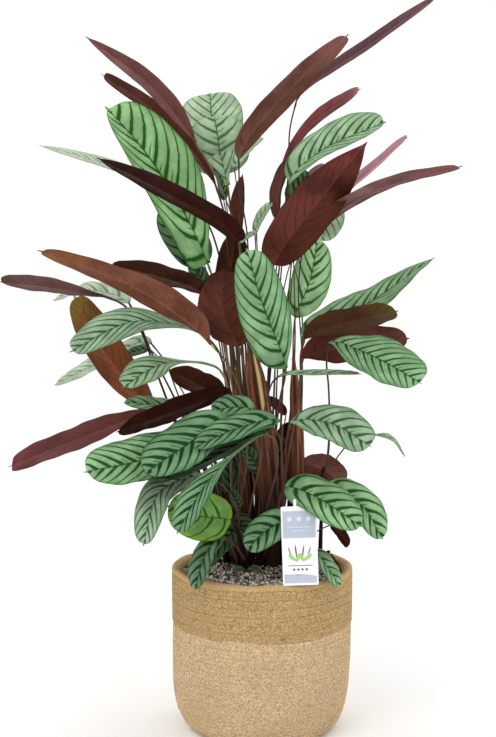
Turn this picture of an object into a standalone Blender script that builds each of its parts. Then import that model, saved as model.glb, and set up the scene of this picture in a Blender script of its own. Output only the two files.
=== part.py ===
"""Calathea in a jute basket: basket, liner, soil, gravel, hang tag, canes and leaves.

Metres, +Z up. The basket stands on its flat base, whose centre is the origin, and the
front of the plant faces -Y. Each leaf is one solid, a petiole that widens into a blade.
Its blade is placed by three points of the leaf table, and its petiole then looks for a
free way down to the crown of the soil, so that no two pieces touch.
"""

import math
from typing import NamedTuple

import bmesh
import bpy
import numpy as np
from mathutils.bvhtree import BVHTree

CM = 0.01
GAP = 0.0003  # between pieces that rest on or in each other

# Basket: a flat base, a quarter ellipse up to the wall, and a wall that opens to the rim.
BASKET_HEIGHT = 0.217
BASE_RADIUS = 0.089
BELLY_RADIUS = 0.118
BELLY_HEIGHT = 0.090
RIM_RADIUS = 0.1205
BASKET_WALL = 0.007
LINER_WALL = 0.001
LINER_HEIGHT = 0.2035
ROUND_SIDES = 36

# Soil and gravel: a flat-topped crown of soil stands in the gravel ring.
SOIL_HEIGHT = 0.196
CROWN_HEIGHT = 0.215
CROWN_RADIUS = 0.061
CROWN_SLOPE = 0.010
CLUMP_BACK = 0.018  # how far behind the basket's axis the stems are centred
CLUMP_HALF = 0.052  # half the width of the clump of stems
CLUMP_DEPTH = 0.70  # the clump's depth over its width
CLUMP_SHIFT = 0.013  # how much farther back than their leaves the stems are rooted
FEET = 84
GRAVEL_HEIGHT = 0.2045
GRAVEL_RISE = 0.009  # from the liner up to the crown

# Hang tag: a card with a tongue, hanging in front of the rim.
TAG_WIDTH = 0.045
TAG_HEIGHT = 0.101
TAG_THICKNESS = 0.0008
TAG_TONGUE = (0.004, 0.010)
TAG_FOOT = (0.049, -0.1145, 0.2185)
TAG_LEAN_BACK = math.radians(-2.0)
TAG_LEAN_SIDE = math.radians(-2.0)

# Canes: the thick sheathed stems.
CANE_SIDES = 10
CANE_RINGS = 10

# Leaves: eight points to a ring, from the foot of the petiole to the tip of the blade.
RING_POINTS = 8
PETIOLE_RADIUS = 0.0014
SHEATH_RADIUS = 0.0026  # at the foot, where the petiole is wrapped in its sheath
SHEATH_PART = 0.65  # of the petiole's length
PETIOLE_STEP = 0.11
BLADE_STATIONS = (0.04, 0.14, 0.32, 0.52, 0.72, 0.88, 0.965)
MIDRIB_HALF = 0.0008
BLADE_HALF = 0.0005
FOLD = 0.16  # rise of the margins over the midrib, as a part of the half width
TIP_RADIUS = 0.0005
FRONT = np.array((0.0, -1.0, 0.0))

# How a leaf looks for a place where it touches nothing.
CLEARANCE = 0.0004
DEPTHS_TRIED = (0, -0.5, 0.5, -1, 1, -1.5, 1.5, -2, 2, -2.5, 2.5, -3, 3)  # centimetres
FEET_TRIED = 24
BEND_MOVES = (0, -0.004, 0.004, -0.008, 0.008, -0.012, 0.012, -0.018, 0.018)
FOOT_UNDER_BEND = 0.6  # the foot is looked for under this part of the first bend's offset
VERTICAL_START = 0.02


class Leaf(NamedTuple):
    """Points in centimetres; turn 0 shows the green side to the front, 180 the red one."""

    base: tuple
    middle: tuple
    tip: tuple
    width: float
    turn: float
    twist: float
    bends: tuple


LEAVES = (
    # Raised upper leaves.
    Leaf((-8.5, -1, 77.5), (-14, -3, 84.5), (-22, -7, 90.5), 5.5, 117, 0, ((-4, 0, 67),)),
    Leaf((-6, 1, 72), (-12.5, 2, 80.5), (-21, 3, 86.5), 5, 122, 0, ((-4.5, 3, 64),)),
    Leaf((-7, -2, 62), (-13, -4, 73), (-19, -6, 82.5), 7.5, 20, 0, ((-5, -1, 54),)),
    Leaf((-3, -6, 65), (-11.5, -11, 71), (-20, -16, 75.5), 6.5, 122, 0, ((-2.5, -4, 57.5),)),
    Leaf((-9.5, 8, 70), (-21, 15, 74.5), (-31.5, 22, 77.5), 5, 72, 0, ((-5.5, 6, 62),)),
    Leaf((-4.5, 4, 72), (-6.5, 8, 80), (-7, 13, 84.5), 8.5, 0, 0, ((-4, 4, 67),)),
    Leaf((-3, -2, 75.5), (3, -6, 83.5), (10.5, -11, 90.5), 6, -130, 0, ((-2, -1, 66.5),)),
    Leaf((4.5, 1, 83), (13.5, 4, 90), (23.5, 8, 97), 5, -110, 0, ((3.5, 1, 74.5),)),
    Leaf((2.5, 4, 73), (6, 6, 79.5), (13.5, 12, 85), 4.5, -115, 0, ((2.5, 3, 65.5),)),
    Leaf((3.5, -1, 72.5), (8, -4, 77), (15.5, -7, 80), 6, -58, 0, ((3.5, 1, 67),)),
    Leaf((2, 1, 67.5), (2, 1, 71), (3.5, 2, 75.5), 4.5, -120, 0, ((1.5, 1, 61.5),)),
    Leaf((1.5, -5, 62), (7, -7, 70), (13, -9, 77.5), 7.2, -153, 0, ((0.5, -4, 55.5),)),
    Leaf((7.5, 3, 68), (14, 7, 73.5), (20, 12, 78.5), 4, -107, 0, ((4, 4, 60),)),
    Leaf((5.5, -3, 64.5), (14, -9, 71.5), (24, -14, 74.5), 5.5, -112, 0, ((3, -2, 58.5),)),
    Leaf((6.5, 9, 69.5), (9, 13, 68.5), (8.5, 17, 64), 5, 20, 0, ((4.5, 7, 61.5),)),
    Leaf((4.5, 4, 54.5), (6.5, 5, 59.5), (7.5, 6, 65), 5.5, 15, 0, ((4, 3, 50),)),
    Leaf((-3, 2, 65), (-3, 2, 69.5), (-2.5, 2, 73.5), 4.5, -125, 0, ((-2.5, 2, 59),)),
    # Middle leaves.
    Leaf((3, -7, 49), (0, -11, 57.5), (-2, -12, 64.5), 7.3, 10, 0, ((2.5, -5, 45.5),)),
    Leaf((-3, -4.5, 51.5), (-5, -5.5, 56), (-5, -5, 61.5), 7, 150, 0, ((-2, -4, 47.5),)),
    Leaf((-6.5, -7, 52), (-16.5, -13, 59.5), (-27, -18, 64.5), 7, 129, 0, ((-3.5, -4, 46.5),)),
    Leaf((-7.5, -1.5, 58), (-13.5, -3.5, 60.5), (-19.5, -5, 62), 5, 125, 0, ((-5, -1, 52),)),
    Leaf((-18, 3, 56), (-25.5, 5, 58), (-35.5, 8, 59), 5, 117, 0, ((-12, 1, 42.5), (-14.5, 2, 49))),
    Leaf((-18, 9, 56), (-23.5, 12, 57.5), (-29, 15, 56), 4.5, 70, 0, ((-11, 5, 42), (-15.5, 7, 51))),
    Leaf((-7, -4, 52.5), (-16, -8, 55), (-24, -12, 51.5), 5.5, 52, 0, ((-5, -3, 49),)),
    Leaf((-14, 2, 42), (-21.5, 3, 51), (-25, 4, 57.5), 7, 145, 0, ((-8, 1, 38.5),)),
    Leaf((-5.5, -4, 48.5), (-12.5, -7, 49.5), (-17.5, -11, 47), 5, 62, 0, ((-4, -3, 45),)),
    Leaf((-5, -2, 44.5), (-8.5, -3, 46.5), (-12, -4, 48.5), 4, 115, 0, ((-3.5, -2, 41),)),
    Leaf((-15, 9, 50.5), (-22, 14, 47.5), (-29.5, 19, 43.5), 4, 65, 0, ((-11.5, 6, 44.5),)),
    Leaf((2, -8, 48), (7, -9, 48.5), (12.5, -9, 48.5), 4, -80, 0, ((0.5, -6, 46),)),
    Leaf((8.5, -6, 52), (13.5, -10, 51), (19.5, -15, 48), 6, -42, 0, ((8, -4, 34), (8.5, -6, 46.5))),
    Leaf((5.5, -5, 52.5), (11.5, -8, 55), (17, -10, 56.5), 6, -130, 0, ((5, -4, 48),)),
    Leaf((5.5, 0, 49.5), (12, -3, 51.5), (19, -4, 52.5), 5.5, -122, 0, ((5, 0.5, 46),)),
    Leaf((5.5, -2.5, 52.5), (13.5, -0.5, 56.5), (23, 4, 62.5), 5.8, -55, -20, ((5, -3, 47.5),)),
    # Lower leaves, arching outwards.
    Leaf((-4, -3.5, 45), (-11.5, -9.5, 44.5), (-18, -15, 42), 4.5, 108, 0, ((-2.5, -2.5, 41.5),)),
    Leaf((-13, -4, 43), (-22.5, -9, 40.5), (-31.5, -14, 37.5), 7.2, 127, 0, ((-8, -3, 40.5),)),
    Leaf((-9.5, -2, 42.5), (-14, -2, 43.5), (-18, -3, 44), 3.2, 60, 0, ((-5, -2, 39.5),)),
    Leaf((-6.5, -8, 41), (-14.5, -11, 38), (-22, -15, 37), 6.2, 42, 0, ((-3.5, -5, 39.5),)),
    Leaf((-4, -10, 43), (-9.5, -13, 40), (-14.5, -16, 37), 6.6, 42, 0, ((-2, -7, 39),)),
    Leaf((2, -11, 43), (-3.5, -13, 42), (-8.5, -15, 40), 5, 60, 0, ((2.5, -8, 40),)),
    Leaf((-1, -9, 43.5), (-4, -9.5, 44), (-6.5, -10, 43.5), 4.5, 60, 0, ((0, -7, 39.5),)),
    Leaf((1.5, -9, 41.5), (-6.5, -12, 38), (-14.5, -15, 35), 5, 76, 0, ((2.5, -7, 38),)),
    Leaf((0.5, -12, 41.5), (-6, -15, 37), (-10.5, -17, 30), 4.4, 58, 0, ((2, -9, 38),)),
    Leaf((-7.5, -7, 35), (-13, -10, 33.5), (-15, -12, 27), 5.5, 40, 0, ((-4.5, -6, 33),)),
    Leaf((-4, -8, 29.5), (-8, -10, 30.5), (-12, -11, 32), 6.3, 15, 0, ((-2, -6, 27),)),
    Leaf((-5, -9, 27.5), (-7, -10.5, 26), (-8.5, -12.5, 21.5), 3.8, 50, 0, ((-3.5, -7, 26),)),
    Leaf((4, -8, 29.5), (0.5, -9.5, 28.5), (-2, -10, 26), 5, 25, 0, ((4.5, -7, 26.5),)),
    Leaf((3.5, -8, 42), (8.5, -11, 42.5), (13.5, -14, 40), 5.5, -45, 0, ((3, -7, 36.5),)),
    Leaf((12, 6, 37.5), (17.5, 9, 37.5), (20, 11, 34.5), 2.6, -72, 0, ((8, 4, 31),)),
    Leaf((5.5, 2, 35), (8.5, 3, 34), (11, 4, 32), 5, -150, 0, ((4, 1, 29),)),
    Leaf((3, -9, 33.5), (7.5, -10, 32.5), (12.5, -11, 29.5), 6, -42, 0, ((2, -7, 29.5),)),
    Leaf((8, -6, 33), (12.5, -7, 31.5), (15.5, -8, 27), 5, -40, 0, ((6.5, -5, 29),)),
    Leaf((6.5, -7, 25.5), (8, -8.5, 24), (10, -9, 21), 3, -50, 0, ((5.5, -6, 23.5),)),
)

CANES = (
    # Name, points in centimetres from the crown up, foot radius and top radius.
    ("cane_main", ((1.2, -0.8, 28), (0.7, -2.5, 39), (-1, -3, 52)), 0.0095, 0.0075),
    ("cane_right", ((4.6, 1.2, 28), (4.7, 1.2, 39), (4.2, 1, 49.5)), 0.0095, 0.0060),
    ("cane_left", ((-1.8, 0, 28), (-2.6, -0.5, 38), (-3.4, -0.5, 48)), 0.0065, 0.0045),
)


def clear_scene():
    """Removes the startup objects."""
    for old in list(bpy.data.objects):
        bpy.data.objects.remove(old)


def material(name, color, roughness):
    """A Principled material of one colour."""
    made = bpy.data.materials.new(name)
    made.use_nodes = True
    shader = made.node_tree.nodes["Principled BSDF"]
    shader.inputs["Base Color"].default_value = (*color, 1.0)
    shader.inputs["Roughness"].default_value = roughness
    made.diffuse_color = (*color, 1.0)
    return made


def add_object(name, mesh, finish):
    """Puts a mesh into the scene as one smooth-shaded piece."""
    mesh.materials.append(finish)
    mesh.shade_smooth()
    mesh.set_sharp_from_angle(angle=math.radians(40))
    made = bpy.data.objects.new(name, mesh)
    bpy.context.collection.objects.link(made)
    return made


def solid_mesh(name, points, faces):
    """A mesh from points and faces, with its normals outwards."""
    mesh = bpy.data.meshes.new(name)
    mesh.from_pydata([tuple(float(v) for v in p) for p in points], [], faces)
    shape = bmesh.new()
    shape.from_mesh(mesh)
    bmesh.ops.recalc_face_normals(shape, faces=shape.faces)
    shape.to_mesh(mesh)
    shape.free()
    return mesh


def turned(name, profile, finish):
    """A solid of revolution about Z from a closed profile of (radius, height) points."""
    shape = bmesh.new()
    corners = [shape.verts.new((radius, 0, height)) for radius, height in profile]
    ends = corners[1:] + corners[:1]
    edges = [shape.edges.new(pair) for pair in zip(corners, ends) if not on_axis(*pair)]
    bmesh.ops.spin(
        shape,
        geom=corners + edges,
        cent=(0, 0, 0),
        axis=(0, 0, 1),
        angle=2 * math.pi,
        steps=ROUND_SIDES,
        use_merge=True,
    )
    bmesh.ops.remove_doubles(shape, verts=shape.verts, dist=1e-6)
    bmesh.ops.recalc_face_normals(shape, faces=shape.faces)
    mesh = bpy.data.meshes.new(name)
    shape.to_mesh(mesh)
    shape.free()
    return add_object(name, mesh, finish)


def on_axis(a, b):
    """Whether both ends of a profile edge lie on the axis, where it makes no face."""
    return a.co.x == 0 and b.co.x == 0


def cup_outline(inset, top):
    """The basket's outside from the middle of its base to height top, moved in by inset."""
    belly = [
        (
            BASE_RADIUS + (BELLY_RADIUS - BASE_RADIUS - inset) * math.sin(angle),
            BELLY_HEIGHT - (BELLY_HEIGHT - inset) * math.cos(angle),
        )
        for angle in np.radians((0, 20, 40, 65, 90))
    ]
    middle = (BELLY_HEIGHT + BASKET_HEIGHT) / 2
    flare = (RIM_RADIUS - BELLY_RADIUS) * (top - middle) / (BASKET_HEIGHT - middle)
    wall = [(BELLY_RADIUS - inset, middle), (BELLY_RADIUS + flare - inset, top)]
    return [(0, inset)] + belly + wall


def basket(finish):
    """The woven wall and floor, with a round rim."""
    rim = BASKET_WALL / 2
    top = BASKET_HEIGHT - rim
    outside = cup_outline(0, top)
    inside = cup_outline(BASKET_WALL, top)
    middle = (outside[-1][0] + inside[-1][0]) / 2
    arch = [
        (middle + rim * math.cos(angle), top + rim * math.sin(angle))
        for angle in np.radians((30, 60, 90, 120, 150))
    ]
    return turned("basket", outside + arch + inside[::-1], finish)


def liner(finish):
    """The thin cup that keeps water off the jute."""
    inset = BASKET_WALL + GAP
    outside = cup_outline(inset, LINER_HEIGHT)
    inside = cup_outline(inset + LINER_WALL, LINER_HEIGHT)
    return turned("liner", outside + inside[::-1], finish)


def potting_soil(finish):
    """The root ball with the flat-topped crown that the stems rise from."""
    side = cup_outline(BASKET_WALL + LINER_WALL + 2 * GAP, SOIL_HEIGHT)
    crown = [
        (CROWN_RADIUS + CROWN_SLOPE, SOIL_HEIGHT),
        (CROWN_RADIUS, CROWN_HEIGHT),
        (0, CROWN_HEIGHT),
    ]
    return turned("potting_soil", side + crown, finish)


def gravel(finish):
    """The ring of gravel between the crown and the liner."""
    floor = SOIL_HEIGHT + GAP
    inset = BASKET_WALL + LINER_WALL + 3 * GAP
    low = cup_outline(inset, floor)[-1][0]
    high = cup_outline(inset, GRAVEL_HEIGHT)[-1][0]
    top = GRAVEL_HEIGHT + GRAVEL_RISE
    slope = CROWN_SLOPE * (top - floor) / (CROWN_HEIGHT - SOIL_HEIGHT)
    inner = CROWN_RADIUS + CROWN_SLOPE + 3 * GAP
    profile = [
        (inner, floor),
        (low, floor),
        (high, GRAVEL_HEIGHT),
        ((inner + high) / 2, GRAVEL_HEIGHT + 0.6 * GRAVEL_RISE),
        (inner - slope, top),
    ]
    return turned("gravel_topdressing", profile, finish)


def hang_tag(finish):
    """The plant's card label with its tongue, leaning over the front rim."""
    half = TAG_WIDTH / 2
    tongue = TAG_TONGUE[0] / 2
    left = -0.10 * TAG_WIDTH
    shoulder = TAG_HEIGHT
    outline = [
        (-half, 0),
        (half, 0),
        (half, shoulder),
        (left + tongue, shoulder),
        (left + tongue, shoulder + TAG_TONGUE[1]),
        (left - tongue, shoulder + TAG_TONGUE[1]),
        (left - tongue, shoulder),
        (-half, shoulder),
    ]
    shape = bmesh.new()
    card = shape.faces.new([shape.verts.new((x, 0, z)) for x, z in outline])
    thick = bmesh.ops.extrude_face_region(shape, geom=[card])["geom"]
    moved = [part for part in thick if isinstance(part, bmesh.types.BMVert)]
    bmesh.ops.translate(shape, verts=moved, vec=(0, TAG_THICKNESS, 0))
    bmesh.ops.recalc_face_normals(shape, faces=shape.faces)
    mesh = bpy.data.meshes.new("plant_label")
    shape.to_mesh(mesh)
    shape.free()
    tag = add_object("plant_label", mesh, finish)
    tag.location = TAG_FOOT
    tag.rotation_euler = (TAG_LEAN_BACK, TAG_LEAN_SIDE, 0)
    return tag


def through(points, stations):
    """Points of a smooth curve through the given ones; stations count 0, 1, 2... at them."""
    points = np.array(points, float)
    steps = np.linalg.norm(np.diff(points, axis=0), axis=1) ** 0.5
    knots = np.concatenate([[0], np.cumsum(steps)])
    slopes = np.gradient(points, knots, axis=0)
    index = np.clip(np.floor(stations).astype(int), 0, len(points) - 2)
    t = (np.asarray(stations) - index)[:, None]
    span = (knots[index + 1] - knots[index])[:, None]
    return (
        (2 * t**3 - 3 * t**2 + 1) * points[index]
        + (t**3 - 2 * t**2 + t) * span * slopes[index]
        + (-2 * t**3 + 3 * t**2) * points[index + 1]
        + (t**3 - t**2) * span * slopes[index + 1]
    )


def unit(vectors):
    """The vectors at length 1."""
    return vectors / np.linalg.norm(vectors, axis=-1, keepdims=True)


def tangents(path):
    """The direction of the path at each of its points."""
    return unit(np.gradient(path, axis=0))


def square_to(normal, direction):
    """The normal with its part along the direction taken out."""
    return unit(normal - direction * (normal @ direction))


def carried_along(directions, start, normal):
    """One normal to a ring, carried both ways from the ring it is given at."""
    normals = np.zeros_like(directions)
    normals[start] = normal
    for i in range(start + 1, len(directions)):
        normals[i] = square_to(normals[i - 1], directions[i])
    for i in range(start - 1, -1, -1):
        normals[i] = square_to(normals[i + 1], directions[i])
    return normals


def turned_about(vector, axis, degrees):
    """The vector turned about the axis, right-handed."""
    angle = math.radians(degrees)
    side = np.cross(axis, vector)
    return vector * math.cos(angle) + side * math.sin(angle)


def lofted(rings):
    """Points and faces of the closed skin over the rings, with a flat cap at each end."""
    count = len(rings[0])
    points = np.concatenate(rings)
    faces = []
    for low in range(0, len(points) - count, count):
        for k in range(count):
            after = (k + 1) % count
            faces.append((low + k, low + after, low + count + after, low + count + k))
    faces.append(tuple(range(count))[::-1])
    faces.append(tuple(range(len(points) - count, len(points))))
    return points, faces


def round_ring(center, normal, side, radius, count):
    """A ring of a round stem."""
    angles = np.arange(count) * 2 * math.pi / count
    across = -np.cos(angles)[:, None] * side + np.sin(angles)[:, None] * normal
    return center + radius * across


def blade_ring(center, normal, side, half, swell):
    """A ring of a blade: margin, upper side, margin and underside, folded up a little."""
    across = np.array((-1, -0.5, 0, 0.5, 1, 0.5, 0, -0.5)) * half
    fold = FOLD * half * np.array((1, 0.4, 0, 0.4, 1, 0.4, 0, 0.4))
    skin = BLADE_HALF + swell
    rib = MIDRIB_HALF + swell
    up = np.array((0, skin, rib, skin, 0, -skin, -rib, -skin)) + fold
    return center + across[:, None] * side + up[:, None] * normal


def blade_shape(u):
    """The half width at u from base to tip, as a part of the greatest."""
    return math.sin(math.pi * u**0.92) ** 0.52


def leaf_path(leaf, foot, shift):
    """The stations of a leaf's rings, their points, and the number of the first blade ring."""
    foot = np.array(foot)
    bends = [np.array(bend) * CM + shift for bend in leaf.bends]
    blade = [np.array(point) * CM for point in (leaf.base, leaf.middle, leaf.tip)]
    route = [foot, foot + np.array((0, 0, VERTICAL_START))] + bends + blade
    last = len(bends) + 2
    length = np.linalg.norm(np.diff(np.array(route[: last + 1]), axis=0), axis=1)
    stations = [0.0]
    for piece in range(1, last):
        steps = max(2 if piece == last - 1 else 1, round(length[piece] / PETIOLE_STEP))
        stations += [piece + (k + 1) / steps for k in range(steps)]
    first_blade = len(stations)
    stations += [last + 2 * u for u in BLADE_STATIONS] + [last + 2]
    return np.array(stations), through(route, np.array(stations)), first_blade


def stem_radii(path):
    """The petiole's radius at each point of its path, wider in the sheath at its foot."""
    lengths = np.concatenate([[0], np.cumsum(np.linalg.norm(np.diff(path, axis=0), axis=1))])
    bare = np.clip(lengths / lengths[-1] / SHEATH_PART, 0, 1)
    return SHEATH_RADIUS + (PETIOLE_RADIUS - SHEATH_RADIUS) * bare


def leaf_rings(leaf, foot, shift=0.0, swell=0.0):
    """All rings of a leaf, and the number of the first one that belongs to its blade."""
    stations, path, first_blade = leaf_path(leaf, foot, shift)
    directions = tangents(path)
    directions[0] = (0, 0, 1)
    middle = first_blade + len(BLADE_STATIONS) // 2
    along = directions[middle]
    facing = turned_about(square_to(FRONT, along), along, leaf.turn)
    normals = carried_along(directions, middle, facing)
    radii = stem_radii(path[:first_blade])
    rings = []
    for i, center in enumerate(path):
        u = (stations[i] - stations[first_blade - 1]) / 2
        normal = turned_about(normals[i], directions[i], leaf.twist * max(0, u - 0.5) * 2)
        side = np.cross(directions[i], normal)
        if i < first_blade:
            rings.append(round_ring(center, normal, side, radii[i] + swell, RING_POINTS))
        elif i < len(path) - 1:
            half = leaf.width * CM / 2 * blade_shape(u)
            rings.append(blade_ring(center, normal, side, half, swell))
        else:
            rings.append(round_ring(center, normal, side, TIP_RADIUS, RING_POINTS))
    return rings, first_blade


class Neighbours:
    """The pieces already in place, for asking whether a new one would touch them."""

    def __init__(self):
        self.trees = {}

    def add(self, name, points, faces):
        """Keeps a piece under its name, in place of an earlier one."""
        tree = BVHTree.FromPolygons([tuple(p) for p in points], faces)
        self.trees[name] = (tree, points.min(axis=0), points.max(axis=0))

    def touched_by(self, points, faces, leave_out=None):
        """Whether these faces cross those of any piece but leave_out."""
        low, high = points.min(axis=0), points.max(axis=0)
        tree = BVHTree.FromPolygons([tuple(p) for p in points], faces)
        for name, (other, other_low, other_high) in self.trees.items():
            apart = (low > other_high).any() or (high < other_low).any()
            if name != leave_out and not apart and tree.overlap(other):
                return True
        return False


def add_neighbour(neighbours, made):
    """Adds an object of the scene to the pieces in place."""
    bpy.context.view_layer.update()
    points = np.array([made.matrix_world @ vertex.co for vertex in made.data.vertices])
    neighbours.add(made.name, points, [tuple(face.vertices) for face in made.data.polygons])


def crown_points():
    """Feet for the stems, spread over the back of the crown as seeds in a sunflower."""
    turn = math.pi * (3 - math.sqrt(5))
    feet = []
    for i in range(FEET):
        radius = CLUMP_HALF * math.sqrt((i + 0.5) / FEET)
        back = CLUMP_BACK + CLUMP_DEPTH * radius * math.sin(i * turn)
        feet.append((radius * math.cos(i * turn), back, CROWN_HEIGHT + GAP))
    return feet


def nearest_first(points, goal):
    """The points sorted by their distance to the goal, seen from above."""
    return sorted(points, key=lambda p: math.hypot(p[0] - goal[0], p[1] - goal[1]))


def moved(leaf, depth):
    """The leaf with its blade moved back by depth centimetres."""
    base, middle, tip = ((x, y + depth, z) for x, y, z in (leaf.base, leaf.middle, leaf.tip))
    return leaf._replace(base=base, middle=middle, tip=tip)


def placed_blades(leaves, neighbours):
    """Each leaf with its blade moved back or forward until it touches none placed before."""
    settled = []
    for number, leaf in enumerate(leaves, 1):
        for depth in DEPTHS_TRIED:
            tried = moved(leaf, depth)
            rings, first_blade = leaf_rings(tried, (0, 0, CROWN_HEIGHT), swell=CLEARANCE)
            points, faces = lofted(rings[first_blade - 1 :])
            if not neighbours.touched_by(points, faces):
                break
        else:
            raise RuntimeError(f"leaf {number} finds no free depth")
        neighbours.add(f"leaf_{number:02}", points, faces)
        settled.append(tried)
    return settled


def sideways_moves():
    """Small moves of a petiole's bends, the smallest first."""
    moves = [np.array((x, y, 0)) for x in BEND_MOVES for y in BEND_MOVES]
    return sorted(moves, key=np.linalg.norm)


def grown_leaf(number, leaf, feet, neighbours):
    """The rings of a leaf whose petiole touches nothing; its foot is taken off the list."""
    name = f"leaf_{number:02}"
    goal = np.array(leaf.bends[0]) * CM * FOOT_UNDER_BEND
    goal[1] += CLUMP_SHIFT
    for shift in sideways_moves():
        for foot in nearest_first(feet, goal)[:FEET_TRIED]:
            points, faces = lofted(leaf_rings(leaf, foot, shift, CLEARANCE)[0])
            if not neighbours.touched_by(points, faces, name):
                neighbours.add(name, points, faces)
                feet.remove(foot)
                return leaf_rings(leaf, foot, shift)[0]
    raise RuntimeError(f"{name} finds no free way to the crown")


def cane(name, points, foot_radius, top_radius, finish):
    """A thick stem that tapers from the crown to a round-edged end."""
    route = [np.array(point) * CM for point in points]
    foot = np.array((route[0][0], route[0][1], CROWN_HEIGHT + GAP))
    route = [foot] + route
    stations = np.linspace(0, len(route) - 1, CANE_RINGS)
    path = through(route, stations)
    directions = tangents(path)
    directions[0] = (0, 0, 1)
    normals = carried_along(directions, 0, FRONT)
    radii = np.linspace(foot_radius, top_radius, len(path))
    radii[-1] *= 0.5
    rings = [
        round_ring(center, normal, np.cross(along, normal), radius, CANE_SIDES)
        for center, normal, along, radius in zip(path, normals, directions, radii)
    ]
    return add_object(name, solid_mesh(name, *lofted(rings)), finish)


def leaves(neighbours, green, wine):
    """All leaves, each showing the colour of the side that it turns to the front."""
    feet = crown_points()
    settled = placed_blades(LEAVES, neighbours)
    lowest_first = list(enumerate(settled, 1))[::-1]
    for number, leaf in lowest_first:
        rings = grown_leaf(number, leaf, feet, neighbours)
        name = f"leaf_{number:02}"
        finish = wine if abs(leaf.turn) > 90 else green
        add_object(name, solid_mesh(name, *lofted(rings)), finish)


def main():
    """Builds the whole plant in its basket."""
    clear_scene()
    neighbours = Neighbours()
    firm = [
        basket(material("jute", (0.50, 0.36, 0.20), 0.9)),
        liner(material("liner_plastic", (0.03, 0.03, 0.03), 0.5)),
        potting_soil(material("soil", (0.03, 0.02, 0.015), 0.95)),
        gravel(material("gravel", (0.32, 0.30, 0.28), 0.85)),
        hang_tag(material("label_card", (0.85, 0.87, 0.88), 0.5)),
    ]
    sheath = material("cane_sheath", (0.20, 0.09, 0.05), 0.6)
    firm += [cane(*values, sheath) for values in CANES]
    for made in firm:
        add_neighbour(neighbours, made)
    green = material("leaf_green", (0.22, 0.38, 0.20), 0.4)
    wine = material("leaf_wine", (0.14, 0.04, 0.035), 0.4)
    leaves(neighbours, green, wine)


main()
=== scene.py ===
"""Striped calathea in a coiled jute basket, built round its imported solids.

Laid out as an add-on and run as a script. One operator makes each group of like pieces, and
their sizes and colours are the settings of the sidebar panel. All lengths are metres, +Z is up
and the front of the plant faces -Y.
"""

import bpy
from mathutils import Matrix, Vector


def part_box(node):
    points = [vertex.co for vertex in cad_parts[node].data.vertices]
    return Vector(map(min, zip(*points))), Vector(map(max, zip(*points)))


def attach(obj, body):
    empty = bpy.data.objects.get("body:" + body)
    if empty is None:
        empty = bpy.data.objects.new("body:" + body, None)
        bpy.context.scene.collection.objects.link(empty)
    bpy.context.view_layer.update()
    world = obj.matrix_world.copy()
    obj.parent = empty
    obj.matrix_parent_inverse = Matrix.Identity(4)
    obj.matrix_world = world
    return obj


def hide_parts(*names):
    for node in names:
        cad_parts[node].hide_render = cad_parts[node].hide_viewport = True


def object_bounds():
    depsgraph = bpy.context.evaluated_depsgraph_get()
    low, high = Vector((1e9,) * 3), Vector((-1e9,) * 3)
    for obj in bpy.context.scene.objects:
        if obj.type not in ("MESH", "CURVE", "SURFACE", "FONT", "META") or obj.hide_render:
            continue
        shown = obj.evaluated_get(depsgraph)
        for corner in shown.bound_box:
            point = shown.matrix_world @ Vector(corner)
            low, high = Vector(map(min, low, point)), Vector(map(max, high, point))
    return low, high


bl_info = {
    "name": "Calathea in Basket",
    "version": (1, 0, 0),
    "blender": (4, 5, 0),
    "location": "View3D > Sidebar > Calathea",
    "description": "Grows a striped calathea in a coiled jute basket",
    "category": "Add Mesh",
}

import math
from typing import NamedTuple

import bmesh
import bpy
import numpy as np
from bpy.props import FloatProperty, FloatVectorProperty, IntProperty, PointerProperty

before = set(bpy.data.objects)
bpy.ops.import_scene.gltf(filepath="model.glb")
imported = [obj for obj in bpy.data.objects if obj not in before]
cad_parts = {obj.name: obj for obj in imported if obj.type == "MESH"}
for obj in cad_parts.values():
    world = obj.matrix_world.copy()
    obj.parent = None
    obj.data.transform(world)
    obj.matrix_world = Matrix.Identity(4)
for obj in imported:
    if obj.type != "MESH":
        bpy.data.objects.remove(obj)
CAD_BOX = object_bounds()

UV_PATTERN = "pattern"  # what a piece's stripes, weave or streaks follow
UV_PLACE = "place"  # where a point lies on its piece
TINT = "tint"  # one random number for each grain or crumb

FRONT = np.array((0.0, -1.0, 0.0))
FLOOR_HALF = 12.0  # from the middle of the studio floor to its edge
WELD = 2e-5  # corners nearer than this are one
STITCH_LEAN = 3.0  # stitches that a strand leans over within half a row of braid


def hex_color(code):
    """Linear red, green and blue of a colour written as six hex digits."""
    shares = [int(code[k : k + 2], 16) / 255 for k in (0, 2, 4)]
    return tuple(v / 12.92 if v <= 0.04045 else ((v + 0.055) / 1.055) ** 2.4 for v in shares)


def lightened(color, times, plus):
    """The colour made lighter, channel by channel."""
    return tuple(min(1.0, times * v + plus) for v in color)


def dimmed(color, share):
    """The colour at this part of its brightness."""
    return tuple(share * v for v in color)


def color_setting(name, description, code):
    """A colour property with its default written as six hex digits."""
    return FloatVectorProperty(
        name=name,
        description=description,
        subtype="COLOR",
        size=3,
        min=0,
        max=1,
        default=hex_color(code),
    )


def length_setting(name, description, default):
    """A length property in metres."""
    return FloatProperty(
        name=name,
        description=description,
        default=default,
        min=0,
        precision=4,
        unit="LENGTH",
    )


def share_setting(name, description, default):
    """A property that is a part of something else."""
    return FloatProperty(name=name, description=description, default=default, subtype="FACTOR")


# Settings


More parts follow.
